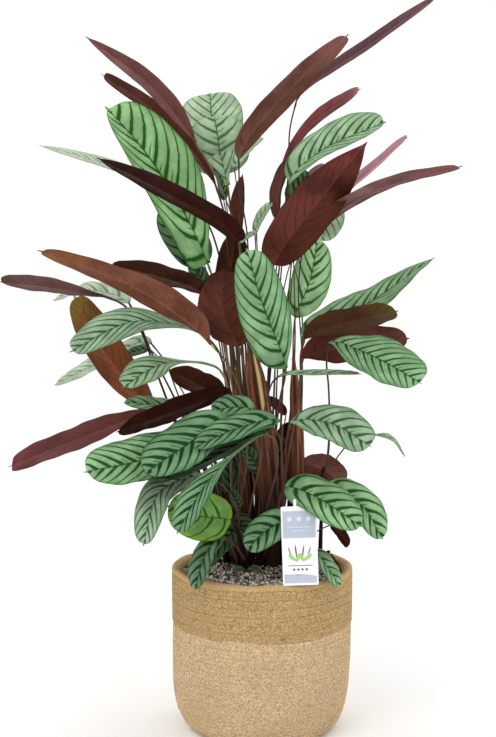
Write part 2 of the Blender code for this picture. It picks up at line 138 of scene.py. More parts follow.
class BasketSettings(bpy.types.PropertyGroup):
    """Sizes and colours of the jute basket."""

    row_height: length_setting("Row height", "Height of one row of braid", 0.011)
    row_swell: length_setting("Row swell", "How far a row stands out of its seams", 0.0007)
    stitch: length_setting("Stitch", "How far a strand stands out of the braid", 0.0009)
    stitches: IntProperty(name="Stitches", description="Strands round one row", default=230)
    band_rows: IntProperty(name="Band rows", description="Rows in the darker band", default=7)
    band_step: length_setting("Band step", "How far the band stands out", 0.0009)
    rim: length_setting("Rim", "Thickness of the rolled rim", 0.0086)
    unevenness: length_setting("Unevenness", "How far the wall wanders", 0.0028)
    band_color: color_setting("Band", "Jute of the band under the rim", "C0A06F")
    wall_color: color_setting("Wall", "Jute under the band", "D2B68E")
    seam_color: color_setting("Seam", "Shade in the seams", "7A5C36")


class GravelSettings(bpy.types.PropertyGroup):
    """Sizes and colours of the gravel and the soil."""

    grain: length_setting("Grain", "Size across a typical grain", 0.0044)
    grains: IntProperty(name="Grains", description="How many grains lie on top", default=5200)
    crumbs: IntProperty(name="Crumbs", description="How many crumbs of soil lie free", default=420)
    light_color: color_setting("Light", "Colour of the light grains", "EFEADD")
    middle_color: color_setting("Middle", "Colour of the middle grains", "9A9284")
    dark_color: color_setting("Dark", "Colour of the dark grains", "463E36")
    soil_color: color_setting("Soil", "Colour of the damp soil", "1D1512")


class LeafSettings(bpy.types.PropertyGroup):
    """Sizes that all leaves share."""

    thickness: length_setting("Thickness", "Thickness of a blade", 0.0005)
    midrib: length_setting("Midrib", "Radius of the midrib at the foot of a blade", 0.0013)
    quilting: length_setting("Quilting", "Rise of the blade between its side veins", 0.0006)
    ripple: share_setting("Ripple", "Waves of the margin, as a part of the half width", 0.05)
    rise: share_setting("Rise", "Slope of the blade beside its midrib", 0.34)
    sag: share_setting("Sag", "How much the margins bend back down", 0.19)
    vein_spacing: length_setting("Vein spacing", "Between side veins where they leave the midrib", 0.0205)


class StalkSettings(bpy.types.PropertyGroup):
    """Sizes of the petioles and the canes."""

    fullness: share_setting("Fullness", "Radius of a stalk, over its solid's", 0.78)
    joint_swell: share_setting("Joint swell", "Radius of the joint under a blade, over the stalk's", 1.3)
    joint_length: length_setting("Joint length", "Length of the joint under a blade", 0.011)
    sheath_part: share_setting("Sheath part", "Part of a petiole that its sheath wraps", 0.60)
    wraps: IntProperty(name="Wraps", description="Sheaths round one cane", default=4)
    wrap_depth: share_setting("Wrap depth", "Step at a sheath's edge, over the cane's radius", 0.16)
    ribs: share_setting("Ribs", "Height of a sheath's ribs, over the cane's radius", 0.009)


class TagSettings(bpy.types.PropertyGroup):
    """Colours of the hang tag."""

    card_color: color_setting("Card", "Bare card", "F4F5F7")
    panel_color: color_setting("Panel", "Grey-blue panel over the upper half", "B9C3D2")
    line_color: color_setting("Line", "Rules on the panel", "DDE3EC")
    ink_color: color_setting("Ink", "Dark motifs", "45424F")
    leaf_color: color_setting("Leaf", "Green motifs", "A3D36E")


class StageSettings(bpy.types.PropertyGroup):
    """The camera, the lights and the floor."""

    distance: length_setting("Distance", "From the camera to the basket's axis", 2.2)
    height: length_setting("Height", "Of the camera over the floor", 0.74)
    aside: FloatProperty(name="Aside", description="Camera left of the axis", default=0.018, unit="LENGTH")
    tilt: FloatProperty(
        name="Tilt",
        description="Downward tilt of the camera",
        default=math.radians(6.71),
        subtype="ANGLE",
    )
    lens: FloatProperty(name="Lens", description="Focal length", default=82.4, unit="CAMERA")
    daylight: FloatProperty(name="Daylight", description="Strength of the white room", default=1.04)
    key_light: FloatProperty(name="Key light", description="Softbox in front", default=16.0, unit="POWER")
    rim_light: FloatProperty(name="Rim light", description="Softbox behind", default=7.0, unit="POWER")
    floor_color: color_setting("Floor", "Pale floor", "FBFBFA")


GROUPS = {
    "calathea_basket": BasketSettings,
    "calathea_gravel": GravelSettings,
    "calathea_leaf": LeafSettings,
    "calathea_stalk": StalkSettings,
    "calathea_tag": TagSettings,
    "calathea_stage": StageSettings,
}


# Materials


class Finish:
    """A node material under construction; values may be numbers, colours or sockets."""

    def __init__(self, name):
        self.material = bpy.data.materials.new(name)
        self.material.use_nodes = True
        self.tree = self.material.node_tree
        self.shader = self.tree.nodes["Principled BSDF"]

    def node(self, kind, **settings):
        """A new node with these settings."""
        made = self.tree.nodes.new(kind)
        for name, value in settings.items():
            setattr(made, name, value)
        return made

    def put(self, socket, value):
        """Links or writes a value into a socket."""
        if isinstance(value, bpy.types.NodeSocket):
            self.tree.links.new(value, socket)
        elif hasattr(value, "__len__") and socket.type == "RGBA" and len(value) == 3:
            socket.default_value = (*value, 1.0)
        else:
            socket.default_value = value

    def math(self, operation, *values):
        """The result of a Math node."""
        made = self.node("ShaderNodeMath", operation=operation)
        for socket, value in zip(made.inputs, values):
            self.put(socket, value)
        return made.outputs[0]

    def from_middle(self, value):
        """How far a value lies from the middle of its whole number, from 0 to 1."""
        turn = self.math("MULTIPLY_ADD", self.math("FRACT", value), 2.0, -1.0)
        return self.math("ABSOLUTE", turn)

    def step(self, value, low, high, out_low=0.0, out_high=1.0):
        """A smooth step from out_low to out_high as value goes from low to high."""
        made = self.node("ShaderNodeMapRange", interpolation_type="SMOOTHSTEP")
        for name, given in zip(
            ("Value", "From Min", "From Max", "To Min", "To Max"),
            (value, low, high, out_low, out_high),
        ):
            self.put(made.inputs[name], given)
        return made.outputs[0]

    def mix(self, share, first, second):
        """Two colours mixed."""
        made = self.node("ShaderNodeMix", data_type="RGBA")
        self.put(made.inputs["Factor"], share)
        self.put(made.inputs["A"], first)
        self.put(made.inputs["B"], second)
        return made.outputs["Result"]

    def split_uv(self, name):
        """The two numbers of a UV map."""
        source = self.node("ShaderNodeUVMap", uv_map=name)
        parts = self.node("ShaderNodeSeparateXYZ")
        self.tree.links.new(source.outputs[0], parts.inputs[0])
        return parts.outputs[0], parts.outputs[1]

    def joined(self, x, y, z=0.0):
        """A vector from three values."""
        made = self.node("ShaderNodeCombineXYZ")
        for socket, value in zip(made.inputs, (x, y, z)):
            self.put(socket, value)
        return made.outputs[0]

    def place(self):
        """The point in the piece's own space."""
        return self.node("ShaderNodeTexCoord").outputs["Object"]

    def noise(self, vector, scale, detail=3.0, roughness=0.5):
        """Noise between 0 and 1."""
        made = self.node("ShaderNodeTexNoise")
        self.put(made.inputs["Vector"], vector)
        self.put(made.inputs["Scale"], scale)
        self.put(made.inputs["Detail"], detail)
        self.put(made.inputs["Roughness"], roughness)
        return made.outputs["Fac"]

    def random(self, vector):
        """White noise between 0 and 1, the same for equal vectors."""
        made = self.node("ShaderNodeTexWhiteNoise", noise_dimensions="3D")
        self.put(made.inputs["Vector"], vector)
        return made.outputs["Value"]

    def attribute(self, name):
        """A number stored in the mesh."""
        return self.node("ShaderNodeAttribute", attribute_name=name).outputs["Fac"]

    def bump(self, height, distance, strength=1.0):
        """A normal that follows a height."""
        made = self.node("ShaderNodeBump")
        self.put(made.inputs["Height"], height)
        self.put(made.inputs["Distance"], distance)
        self.put(made.inputs["Strength"], strength)
        return made.outputs[0]

    def done(self, color, roughness, normal=None, **uniform):
        """Fills the shader and returns the material; uniform values are not linked."""
        self.put(self.shader.inputs["Base Color"], color)
        self.put(self.shader.inputs["Roughness"], roughness)
        if normal is not None:
            self.put(self.shader.inputs["Normal"], normal)
        for name, value in uniform.items():
            self.shader.inputs[name.replace("_", " ")].default_value = value
        return self.material


class TopTone(NamedTuple):
    """Colours of a blade's upper side, and how wide its dark stripes are."""

    silver: str
    vein: str
    edge: str
    stripe: float = 0.20


TOP_TONES = {
    "silver": TopTone("80A27A", "1F4C1C", "4A7E42", 0.24),
    "bright": TopTone("A4C697", "2A5F22", "5E9A4C", 0.22),
    "bold": TopTone("8CB083", "1C4F1C", "4A8840", 0.33),
    "sage": TopTone("6B8E69", "0F3C17", "386B36", 0.36),
    "grey": TopTone("90A98C", "2E5430", "5E8458", 0.26),
    "pale": TopTone("A2B799", "4C6C46", "7E9C74", 0.20),
    "frost": TopTone("B0BEA8", "66805F", "8FA686", 0.20),
    "mist": TopTone("93B08C", "2C5526", "5F8A54", 0.24),
    "fresh": TopTone("8AAE7C", "1C5412", "46842F", 0.24),
    "young": TopTone("5F8642", "28551A", "7AA61E", 0.20),
    "deep": TopTone("607C58", "10331A", "305A2E", 0.36),
    # painted shade: a darkened copy of the leaf greens for leaves in the shade deep in the clump
    "night": TopTone("46603F", "0C2812", "234A22", 0.36),
}


class UnderTone(NamedTuple):
    """Colours of a blade's underside: most of it, its shade, its tip and its second half."""

    plain: str
    shade: str
    tip: str
    half: str


UNDER_TONES = {
    "wine": UnderTone("5C2B26", "3A1719", "6E3836", "66332E"),
    "dark": UnderTone("38120C", "1C0604", "3C1810", "40180F"),
    "brown": UnderTone("54291C", "35150E", "66392E", "66342C"),
    "flame": UnderTone("54291C", "35150E", "9C4C50", "6A342E"),
    "russet": UnderTone("784C40", "522A20", "8C5A58", "7C5048"),
    "violet": UnderTone("6A4448", "4A2A30", "7A5058", "5C3A3E"),
    "rosy": UnderTone("80503F", "532A1C", "96602C", "74432F"),
    # painted light shining through the blade: its rust and olive stand in for backlight on a brown
    # underside
    "rust": UnderTone("6A391A", "44200E", "6A6020", "7A4028"),
    "mauve": UnderTone("73443F", "4E2A28", "80484A", "8C605C"),
    "pink": UnderTone("B4828C", "8C5664", "C49AA4", "A8707C"),
    "crimson": UnderTone("803434", "561F22", "C08088", "8E4444"),
    "bark": UnderTone("46200F", "220C05", "54280F", "5C3322"),
    "grey": UnderTone("644340", "442826", "785250", "6E4A4A"),
    "plum": UnderTone("703C3A", "502624", "723E3E", "7A4442"),
    "olive": UnderTone("54341C", "3A1E12", "5E5424", "5C3424"),
    "lime": UnderTone("6C8A2C", "50701E", "7C9A30", "6C8A2C"),
}


class StalkTone(NamedTuple):
    """Colours of a stalk: its light and dark streaks, its joint, and its painted highlight stripe."""

    light: str
    dark: str
    joint: str
    stripe: str = ""


STALK_TONES = {
    "brown": StalkTone("80604A", "3C2117", "56542C"),
    "tan": StalkTone("A48A70", "5C4030", "767A42"),
    "dark": StalkTone("5A463E", "21130F", "2E3320"),
    "red": StalkTone("74392A", "3E1A12", "4C5426"),
    "olive": StalkTone("7F6842", "43301E", "A2B24A"),
    "cane": StalkTone("8E5C3E", "43200F", "6A5A34"),
    # the main cane's own brown, with a painted highlight stripe down its lit side
    "gilded": StalkTone("7A4A30", "3A1B0E", "6A5A34", "D8BE82"),
    "black": StalkTone("35211A", "120806", "24200F"),
}


def blade_place(make):
    """Across and along a blade, its vein count, and how far out from the midrib."""
    across, vein = make.split_uv(UV_PATTERN)
    _, along = make.split_uv(UV_PLACE)
    out = make.math("ABSOLUTE", make.math("MULTIPLY_ADD", across, 2.0, -1.0))
    return across, vein, along, out


def dark_marks(make, across, vein, out, off, wide):
    """The dark marks of an upper side: side veins, short lines between them, and the midrib."""
    main = make.step(off, wide, make.math("ADD", wide, 0.10), 1.0, 0.0)
    main = make.math("MULTIPLY", main, make.step(vein, 0.1, 0.5))
    number = make.math("FLOOR", make.math("ADD", vein, 0.5))
    side = make.math("GREATER_THAN", across, 0.5)
    reach = make.math("MULTIPLY", make.random(make.joined(number, side, 3.0)), 0.42)
    fading = make.step(out, make.math("MULTIPLY", reach, 0.5), reach, 1.0, 0.0)
    short = make.math("MULTIPLY", make.step(off, 0.86, 0.97), fading)
    midrib = make.step(out, 0.012, 0.035, 1.0, 0.0)
    return make.math("MAXIMUM", make.math("MAXIMUM", main, short), midrib)


def silver_stripes(make, tone, place, grown, off, wide):
    """The silver between the veins: patchy, and greener beside a vein, a margin or the base."""
    across, vein, along, out = grown
    edge = hex_color(tone.edge)
    silver = hex_color(tone.silver)
    patch = make.step(make.noise(place, 45.0, 3.0), 0.38, 0.66)
    light = make.mix(patch, dimmed(silver, 0.92), lightened(silver, 1.26, 0.012))
    fine = make.noise(make.joined(across, make.math("MULTIPLY", vein, 0.12), along), 70.0, 2.0)
    light = make.mix(make.step(fine, 0.45, 0.75, 0.0, 0.20), light, edge)
    greener = make.math("MAXIMUM", make.step(out, 0.70, 1.0), make.step(along, 0.12, 0.0))
    light = make.mix(make.math("MULTIPLY", greener, 0.60), light, edge)
    near, far = (make.math("ADD", wide, reach) for reach in (0.05, 0.42))
    return make.mix(make.step(off, near, far, 0.42, 0.0), light, edge)


def veined_top(name, tone):
    """The upper side: silver stripes between dark side veins that run towards the tip."""
    make = Finish(name)
    grown = blade_place(make)
    across, vein, _, out = grown
    place = make.place()
    wander = make.math("MULTIPLY_ADD", make.noise(place, 160.0, 2.0), 0.16, -0.08)
    off = make.from_middle(make.math("ADD", vein, wander))
    wide = make.step(out, 0.0, 1.0, tone.stripe, 0.28 * tone.stripe)
    dark = dark_marks(make, across, vein, out, off, wide)
    color = silver_stripes(make, tone, place, grown, off, wide)
    color = make.mix(dark, color, hex_color(tone.vein))
    color = make.mix(make.step(out, 0.955, 0.985, 0.0, 0.7), color, hex_color(tone.vein))
    gloss = make.step(make.noise(place, 90.0, 2.0), 0.3, 0.7, 0.40, 0.52)
    grain = make.math("MULTIPLY", make.noise(place, 900.0, 2.0), 0.35)
    relief = make.math("MULTIPLY_ADD", dark, -0.6, grain)
    return make.done(color, gloss, make.bump(relief, 0.0004, 0.5), Specular_IOR_Level=0.16)


def wine_underside(name, tone):
    """The underside: satin wine red with a paler midrib and faint side veins."""
    make = Finish(name)
    across, vein, along, out = blade_place(make)
    place = make.place()
    plain, shade, tip, half = (hex_color(code) for code in tone)
    lighter = lightened(plain, 1.5, 0.015)
    thin = make.step(make.from_middle(vein), 0.04, 0.22, 1.0, 0.0)
    lines = make.math("MULTIPLY", thin, make.step(vein, 0.1, 0.5))
    cloud = make.step(make.noise(place, 22.0, 4.0, 0.55), 0.35, 0.68)
    fine = make.noise(make.joined(across, make.math("MULTIPLY", vein, 0.25), along), 60.0, 2.0)
    color = plain
    for share, tinge in (
        (make.step(across, 0.44, 0.56, 0.0, 0.8), half),
        (make.step(along, 0.62, 0.98, 0.0, 0.85), tip),
        (make.math("MULTIPLY", cloud, 0.75), shade),
        (make.math("MULTIPLY", lines, 0.6), shade),
        (make.step(fine, 0.48, 0.78, 0.0, 0.50), lighter),
        (make.step(out, 0.02, 0.06, 0.35, 0.0), lighter),
        (make.step(out, 0.95, 0.985, 0.0, 0.6), shade),
    ):
        color = make.mix(share, color, tinge)
    gloss = make.step(make.noise(place, 70.0, 2.0), 0.3, 0.7, 0.48, 0.62)
    grain = make.math("MULTIPLY", make.noise(place, 800.0, 2.0), 0.35)
    relief = make.math("MULTIPLY_ADD", lines, 0.6, grain)
    return make.done(color, gloss, make.bump(relief, 0.0004, 0.5), Specular_IOR_Level=0.08)


def streaked_stalk(name, tone):
    """A stalk with long streaks and painted highlights, painted shade towards its foot and where a sheath's
    edge hides it, and its joint on top.
    """
    make = Finish(name)
    around, along = make.split_uv(UV_PATTERN)
    length, tucked = make.split_uv(UV_PLACE)
    light, dark, joint = (hex_color(code) for code in tone[:3])
    painted_shade = dimmed(dark, 0.25)
    turn = make.math("MULTIPLY", around, 2 * math.pi)
    round_about = (make.math("COSINE", turn), make.math("SINE", turn))
    streak = make.noise(make.joined(*round_about, make.math("MULTIPLY", length, 4.0)), 2.4, 4.0, 0.62)
    broad = make.noise(make.joined(*round_about, make.math("MULTIPLY", length, 9.0)), 1.1, 2.0)
    color = make.mix(make.step(streak, 0.40, 0.60), dark, light)
    # painted highlights: the brightest streaks stand in for light glancing along the stalk
    bright = make.math("MULTIPLY", make.step(streak, 0.56, 0.72), make.step(broad, 0.45, 0.62))
    color = make.mix(make.math("MULTIPLY", bright, 0.75), color, lightened(light, 2.1, 0.035))
    # painted highlight: a pale stripe down the lit side of the main cane, part way up
    if tone.stripe:
        side = make.math("ABSOLUTE", make.math("SUBTRACT", around, 0.80))
        side = make.step(side, 0.01, 0.05, 1.0, 0.0)
        here = make.math("MULTIPLY", side, make.step(along, 0.50, 0.62))
        color = make.mix(make.math("MULTIPLY", here, 0.85), color, hex_color(tone.stripe))
    # painted shade: darker towards the foot, where the stems crowd and shade each other
    color = make.mix(make.step(along, 0.05, 0.62, 0.80, 0.0), color, dark)
    color = make.mix(make.step(along, 0.05, 0.42, 0.84, 0.0), color, painted_shade)
    color = make.mix(make.step(along, 0.965, 0.985), color, joint)
    # painted shade under the overlapping edge of a sheath
    color = make.mix(make.math("MULTIPLY", tucked, 0.85), color, painted_shade)
    gloss = make.step(streak, 0.3, 0.7, 0.56, 0.40)
    return make.done(color, gloss, make.bump(streak, 0.0004, 0.6), Specular_IOR_Level=0.14)


def braid_count(make, stitches):
    """The rows of a braid, counted from the rim, and its stitches, whose edges wander."""
    turns, rows = make.split_uv(UV_PATTERN)
    lean = make.math("MULTIPLY", make.math("PINGPONG", rows, 0.5), STITCH_LEAN)
    wander = make.math("MULTIPLY_ADD", make.noise(make.place(), 36.0, 2.0), 2.4, lean)
    return rows, make.math("MULTIPLY_ADD", turns, float(stitches), wander)


def braid_shadow(make, rows, stitch, seams, contrast):
    """The dark of the gaps between strands, and of the broken seams between rows."""
    half_off = make.math("MULTIPLY", make.from_middle(make.math("MULTIPLY", rows, 2.0)), 0.50)
    squares = [make.math("POWER", off, 2.0) for off in (make.from_middle(stitch), half_off)]
    away = make.math("SQRT", make.math("ADD", *squares))
    gap = make.step(away, 0.66, 1.10, 0.0, 0.50 * contrast)
    broken = make.step(make.noise(make.place(), 55.0, 3.0), 0.35, 0.6, 0.35, 1.0)
    groove = make.step(make.from_middle(rows), 0.86, 0.97, 0.0, seams)
    return make.math("MAXIMUM", gap, make.math("MULTIPLY", groove, broken))


def braided_jute(name, plain, seam, seams, contrast, stitches):
    """Jute braid: each strand has its own tone and fibres, with painted shade in the gaps and seams and a
    painted highlight along the rim.
    """
    make = Finish(name)
    rows, stitch = braid_count(make, stitches)
    place = make.place()
    half_row = make.math("FLOOR", make.math("MULTIPLY", rows, 2.0))
    shade = make.random(make.joined(make.math("FLOOR", stitch), half_row, 1.0))
    spun = make.joined(make.math("MULTIPLY", stitch, 1.8), make.math("MULTIPLY", rows, 10.0))
    fibre = make.noise(spun, 2.4, 3.0, 0.75)
    speck = make.noise(place, 640.0, 3.0, 0.75)
    cloud = make.noise(place, 16.0, 4.0)
    light = lightened(plain, 1.44, 0.035)
    deep = dimmed(plain, 0.43)
    color = plain
    for source, low, high, share, tinge in (
        (shade, 0.50, 1.00, 0.24 * contrast, light),
        (shade, 0.50, 0.00, 0.18 * contrast, deep),
        (fibre, 0.50, 0.72, 0.60 * contrast, light),
        (fibre, 0.46, 0.28, 0.50 * contrast, deep),
        (speck, 0.51, 0.61, 1.10 * contrast, light),
        (speck, 0.49, 0.39, 0.90 * contrast, deep),
        (cloud, 0.35, 0.70, 0.16, deep),
    ):
        color = make.mix(make.step(source, low, high, 0.0, share), color, tinge)
    dark = braid_shadow(make, rows, stitch, seams, contrast)
    color = make.mix(dark, color, seam)
    # painted highlight along the rolled rim, which faces up into the light
    color = make.mix(make.step(rows, 1.2, 0.5, 0.0, 0.42), color, light)
    height = make.math("MULTIPLY_ADD", fibre, 0.5, make.math("MULTIPLY", dark, -0.8))
    height = make.math("MULTIPLY_ADD", speck, 0.4, height)
    return make.done(color, 0.88, make.bump(height, 0.0009, 0.9), Specular_IOR_Level=0.15)


def stone(name, settings):
    """Mixed grains: white, grey, brown and black ones, each a little mottled."""
    make = Finish(name)
    tint = make.attribute(TINT)
    ramp = make.node("ShaderNodeValToRGB")
    ramp.color_ramp.interpolation = "CONSTANT"
    light, middle, dark = settings.light_color, settings.middle_color, settings.dark_color
    brown = (0.25, 0.17, 0.12)
    grey = (0.55, 0.53, 0.50)
    steps = ((0.0, dark), (0.24, middle), (0.46, brown), (0.60, light), (0.86, grey))
    while len(ramp.color_ramp.elements) < len(steps):
        ramp.color_ramp.elements.new(0.5)
    for element, (position, color) in zip(ramp.color_ramp.elements, steps):
        element.position = position
        element.color = (*color, 1.0)
    make.put(ramp.inputs[0], tint)
    grain = make.noise(make.place(), 900.0, 3.0)
    color = make.mix(make.step(grain, 0.40, 0.7, 0.0, 0.35), ramp.outputs[0], (0.12, 0.10, 0.08))
    return make.done(color, 0.8, make.bump(grain, 0.0004, 0.6), Specular_IOR_Level=0.3)


def damp_soil(name, soil):
    """Dark crumbly soil."""
    make = Finish(name)
    place = make.place()
    lumps = make.noise(place, 220.0, 5.0, 0.65)
    color = make.mix(make.step(lumps, 0.42, 0.72), soil, lightened(soil, 2.6, 0.004))
    return make.done(color, 0.93, make.bump(lumps, 0.003, 1.0), Specular_IOR_Level=0.2)


def moulded_plastic(name):
    """Black liner plastic with a faint grain."""
    make = Finish(name)
    grain = make.noise(make.place(), 500.0, 2.0)
    color = make.mix(grain, (0.012, 0.012, 0.013), (0.03, 0.03, 0.032))
    return make.done(color, make.step(grain, 0.3, 0.7, 0.42, 0.55), make.bump(grain, 0.0002, 0.4))


def printed_card(name, color):
    """Smooth coated card in one printed colour, with a trace of paper grain."""
    make = Finish(name)
    grain = make.noise(make.place(), 1400.0, 2.0)
    tone = make.mix(make.step(grain, 0.3, 0.7, 0.0, 0.10), tuple(color), dimmed(color, 0.8))
    return make.done(tone, make.step(grain, 0.3, 0.7, 0.38, 0.46), make.bump(grain, 0.0001, 0.3))


def studio_floor(name, color):
    """Matte pale floor."""
    make = Finish(name)
    grain = make.noise(make.place(), 6.0, 2.0)
    tone = make.mix(make.step(grain, 0.3, 0.7, 0.0, 0.06), tuple(color), dimmed(color, 0.9))
    return make.done(tone, 0.9, Specular_IOR_Level=0.1)


# Shared geometry


def unit(vectors):
    """The vectors at length 1."""
    return vectors / np.maximum(np.linalg.norm(vectors, axis=-1, keepdims=True), 1e-12)


def smooth_step(x):
    """0 under 0, 1 over 1, and a smooth step between."""
    x = np.clip(x, 0, 1)
    return x * x * (3 - 2 * x)


def arc_lengths(points):
    """The distance along the points to each of them."""
    return np.concatenate([[0], np.cumsum(np.linalg.norm(np.diff(points, axis=0), axis=1))])


def through(points, knots, at):
    """A smooth curve through the points, read at these values of the knots."""
    slopes = np.gradient(points, knots, axis=0)
    index = np.clip(np.searchsorted(knots, at, side="right") - 1, 0, len(points) - 2)
    span = (knots[index + 1] - knots[index])[:, None]
    t = (np.asarray(at) - knots[index])[:, None] / span
    return (
        (2 * t**3 - 3 * t**2 + 1) * points[index]
        + (t**3 - 2 * t**2 + t) * span * slopes[index]
        + (-2 * t**3 + 3 * t**2) * points[index + 1]
        + (t**3 - t**2) * span * slopes[index + 1]
    )


def resampled(points, shares):
    """Points at these parts of the whole length of a smooth curve through the given ones."""
    knots = arc_lengths(points)
    fine = through(points, knots, np.linspace(0, knots[-1], 12 * len(points)))
    lengths = arc_lengths(fine)
    wanted = np.asarray(shares) * lengths[-1]
    return np.stack([np.interp(wanted, lengths, fine[:, k]) for k in range(3)], axis=1)


def square_to(normals, directions):
    """The normals with their parts along the directions taken out."""
    along = np.sum(normals * directions, axis=1, keepdims=True)
    return unit(normals - along * directions)


def carried_normals(directions, first):
    """A normal to each direction, carried from the first without twist."""
    normals = [first]
    for direction in directions[1:]:
        last = normals[-1]
        normals.append(unit(last - direction * (last @ direction)))
    return square_to(np.array(normals), directions)


class Mesh:
    """Points and faces being gathered, with a material number and two UV maps a corner."""

    def __init__(self):
        self.points = []
        self.faces = []
        self.finishes = []
        self.pattern = []
        self.place = []
        self.tints = []
        self.count = 0

    def add(self, points, faces, finish, pattern=None, place=None, tint=0.0):
        """Adds a batch of points and of faces with the same number of corners each."""
        faces = np.asarray(faces)
        empty = np.zeros((*faces.shape, 2))
        self.points.append(np.asarray(points))
        self.faces.append(faces + self.count)
        self.finishes.append(np.broadcast_to(finish, len(faces)))
        self.pattern.append(empty if pattern is None else pattern)
        self.place.append(empty if place is None else place)
        self.tints.append(np.broadcast_to(tint, len(faces)))
        self.count += len(points)

    def build(self, name, finishes, smooth=True):
        """The finished object, which rides on the part's one body."""
        data = bpy.data.meshes.new(name)
        points = np.concatenate(self.points)
        sizes = np.concatenate([np.full(len(part), part.shape[1]) for part in self.faces])
        corners = np.concatenate([part.reshape(-1) for part in self.faces])
        data.vertices.add(len(points))
        data.vertices.foreach_set("co", points.astype(np.float32).reshape(-1))
        data.loops.add(len(corners))
        data.loops.foreach_set("vertex_index", corners.astype(np.int32))
        data.polygons.add(len(sizes))
        starts = np.concatenate([[0], np.cumsum(sizes)[:-1]])
        data.polygons.foreach_set("loop_start", starts.astype(np.int32))
        data.polygons.foreach_set("material_index", np.concatenate(self.finishes).astype(np.int32))
        data.polygons.foreach_set("use_smooth", np.full(len(sizes), smooth))
        for layer, parts in ((UV_PATTERN, self.pattern), (UV_PLACE, self.place)):
            values = np.concatenate([np.asarray(part).reshape(-1, 2) for part in parts])
            made = data.uv_layers.new(name=layer)
            made.data.foreach_set("uv", values.astype(np.float32).reshape(-1))
        tint = data.attributes.new(TINT, "FLOAT", "FACE")
        tint.data.foreach_set("value", np.concatenate(self.tints).astype(np.float32))
        data.update(calc_edges=True)
        data.validate()
        for finish in finishes:
            data.materials.append(finish)
        made = bpy.data.objects.new(name, data)
        bpy.context.scene.collection.objects.link(made)
        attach(made, "root")
        return made


def grid_faces(rows, columns):
    """Corner numbers of a round grid's faces, and each corner's row and unwrapped column."""
    row, column = np.meshgrid(np.arange(rows - 1), np.arange(columns), indexing="ij")
    row, column = row.reshape(-1), column.reshape(-1)
    corner_rows = np.stack([row, row, row + 1, row + 1], axis=1)
    corner_columns = np.stack([column, column + 1, column + 1, column], axis=1)
    return corner_rows * columns + corner_columns % columns, corner_rows, corner_columns


def add_fan(mesh, rings, row, first, finish, spot, end):
    """Closes the first or the last of the rings, whose points begin at first, with a fan."""
    columns = rings.shape[1]
    ring = np.arange(columns) + row * columns
    pairs = np.stack([ring, np.roll(ring, -1)], axis=1)[:, (1, 0) if row == 0 else (0, 1)]
    fan = np.column_stack([pairs, ring]) + first - mesh.count
    fan[:, 2] = 0
    corners = (columns, 3, 1)
    mesh.add(rings[row].mean(axis=0)[None], fan, finish, np.tile(spot, corners), np.tile(end, corners))


def add_tube(mesh, rings, finish, along, lengths, tucked=None):
    """A closed skin over rings of points, with a fan at each end; tucked is 1 under an edge."""
    rows, columns = rings.shape[:2]
    faces, corner_rows, corner_columns = grid_faces(rows, columns)
    pattern = np.stack([corner_columns / columns, along[corner_rows]], axis=-1)
    shade = np.zeros((rows, columns)) if tucked is None else tucked
    place = np.stack([lengths[corner_rows], shade[corner_rows, corner_columns % columns]], axis=-1)
    first = mesh.count
    mesh.add(rings.reshape(-1, 3), faces, finish, pattern, place)
    for row in (0, rows - 1):
        add_fan(mesh, rings, row, first, finish, (0.5, along[row]), (lengths[row], 0.0))


# Leaves


RING = 8  # points to a ring of a leaf's solid
BLADE_RINGS = 8  # of them to a blade, with the one at its tip
BODY_ROWS = 62  # rows of points from a blade's base to where its tip starts
BUD_ROWS = 20
BUD_COLUMNS = (0.10, 0.40, 0.75, 1.0)
BUD_HALF = 0.0095  # half width of a blade that is small enough for few rows
TIP_ROWS = 7
SIDE_COLUMNS = (0.035, 0.09, 0.18, 0.30, 0.42, 0.54, 0.66, 0.78, 0.88, 0.965, 1.0)
STALK_SIDES = 10
STALK_STEP = 0.006
TIP_PART = 0.024  # of a blade's length is its thin tip
VEIN_REACH = 0.33  # part of a blade that a side vein climbs before it meets the margin
OBLONG = 2.3  # the higher it is, the squarer a blade's shoulders
SPIKE_HALF = 0.09  # half width of a tip's spike where it starts, over the blade's
SPIKE_PART = 0.055  # of a blade's length is the spike
FOOT_HALF = 0.05  # half width of a blade's foot, over the blade's
FOOT_PART = 0.05
MIDRIB_DROP = 0.36  # of a solid's hollow, from its middle down to the midrib
RIB_SPREAD = 0.0013  # from the middle of the midrib to its flanks
JOINT_ROWS = (1.2, 0.9, 0.6, 0.35, 0.15)  # extra rows of a stalk, in joint lengths from its top
LIP_SLANT = 0.02  # how far a sheath's lip slants, along the stalk
LIP_STEP = 0.006  # over this length a sheath thins out at its lip


class LeafForm(NamedTuple):
    """What makes one blade differ from the next; left and right are seen from its upper side.

    skew moves the widest place up one half and down the other, taper draws out the base of
    the right half and the tip of the left one, point sharpens the tip, bow bends the blade
    within its plane and veer its tip, roll turns it about its length, twist turns its tip
    further than its base, fold deepens its fold, veins is for more or fewer side veins, push
    moves its base back, and sway moves the middle of its stalk to the right.
    """

    width: float = 1.0
    left: float = 1.0
    right: float = 1.0
    widest: float = 0.48
    skew: float = 0.0
    taper: float = 0.0
    base: float = 0.60
    tip: float = 0.44
    point: float = 1.0
    bow: float = 0.0
    veer: float = 0.0
    roll: float = 0.0
    twist: float = 0.0
    fold: float = 1.0
    veins: float = 1.0
    push: float = 0.0
    sway: float = 0.0
    ripple: float = 1.0


class LeafShape(NamedTuple):
    """A leaf as its solid gives it."""

    stalk: np.ndarray
    radii: np.ndarray
    blade: np.ndarray
    normals: np.ndarray
    half: float


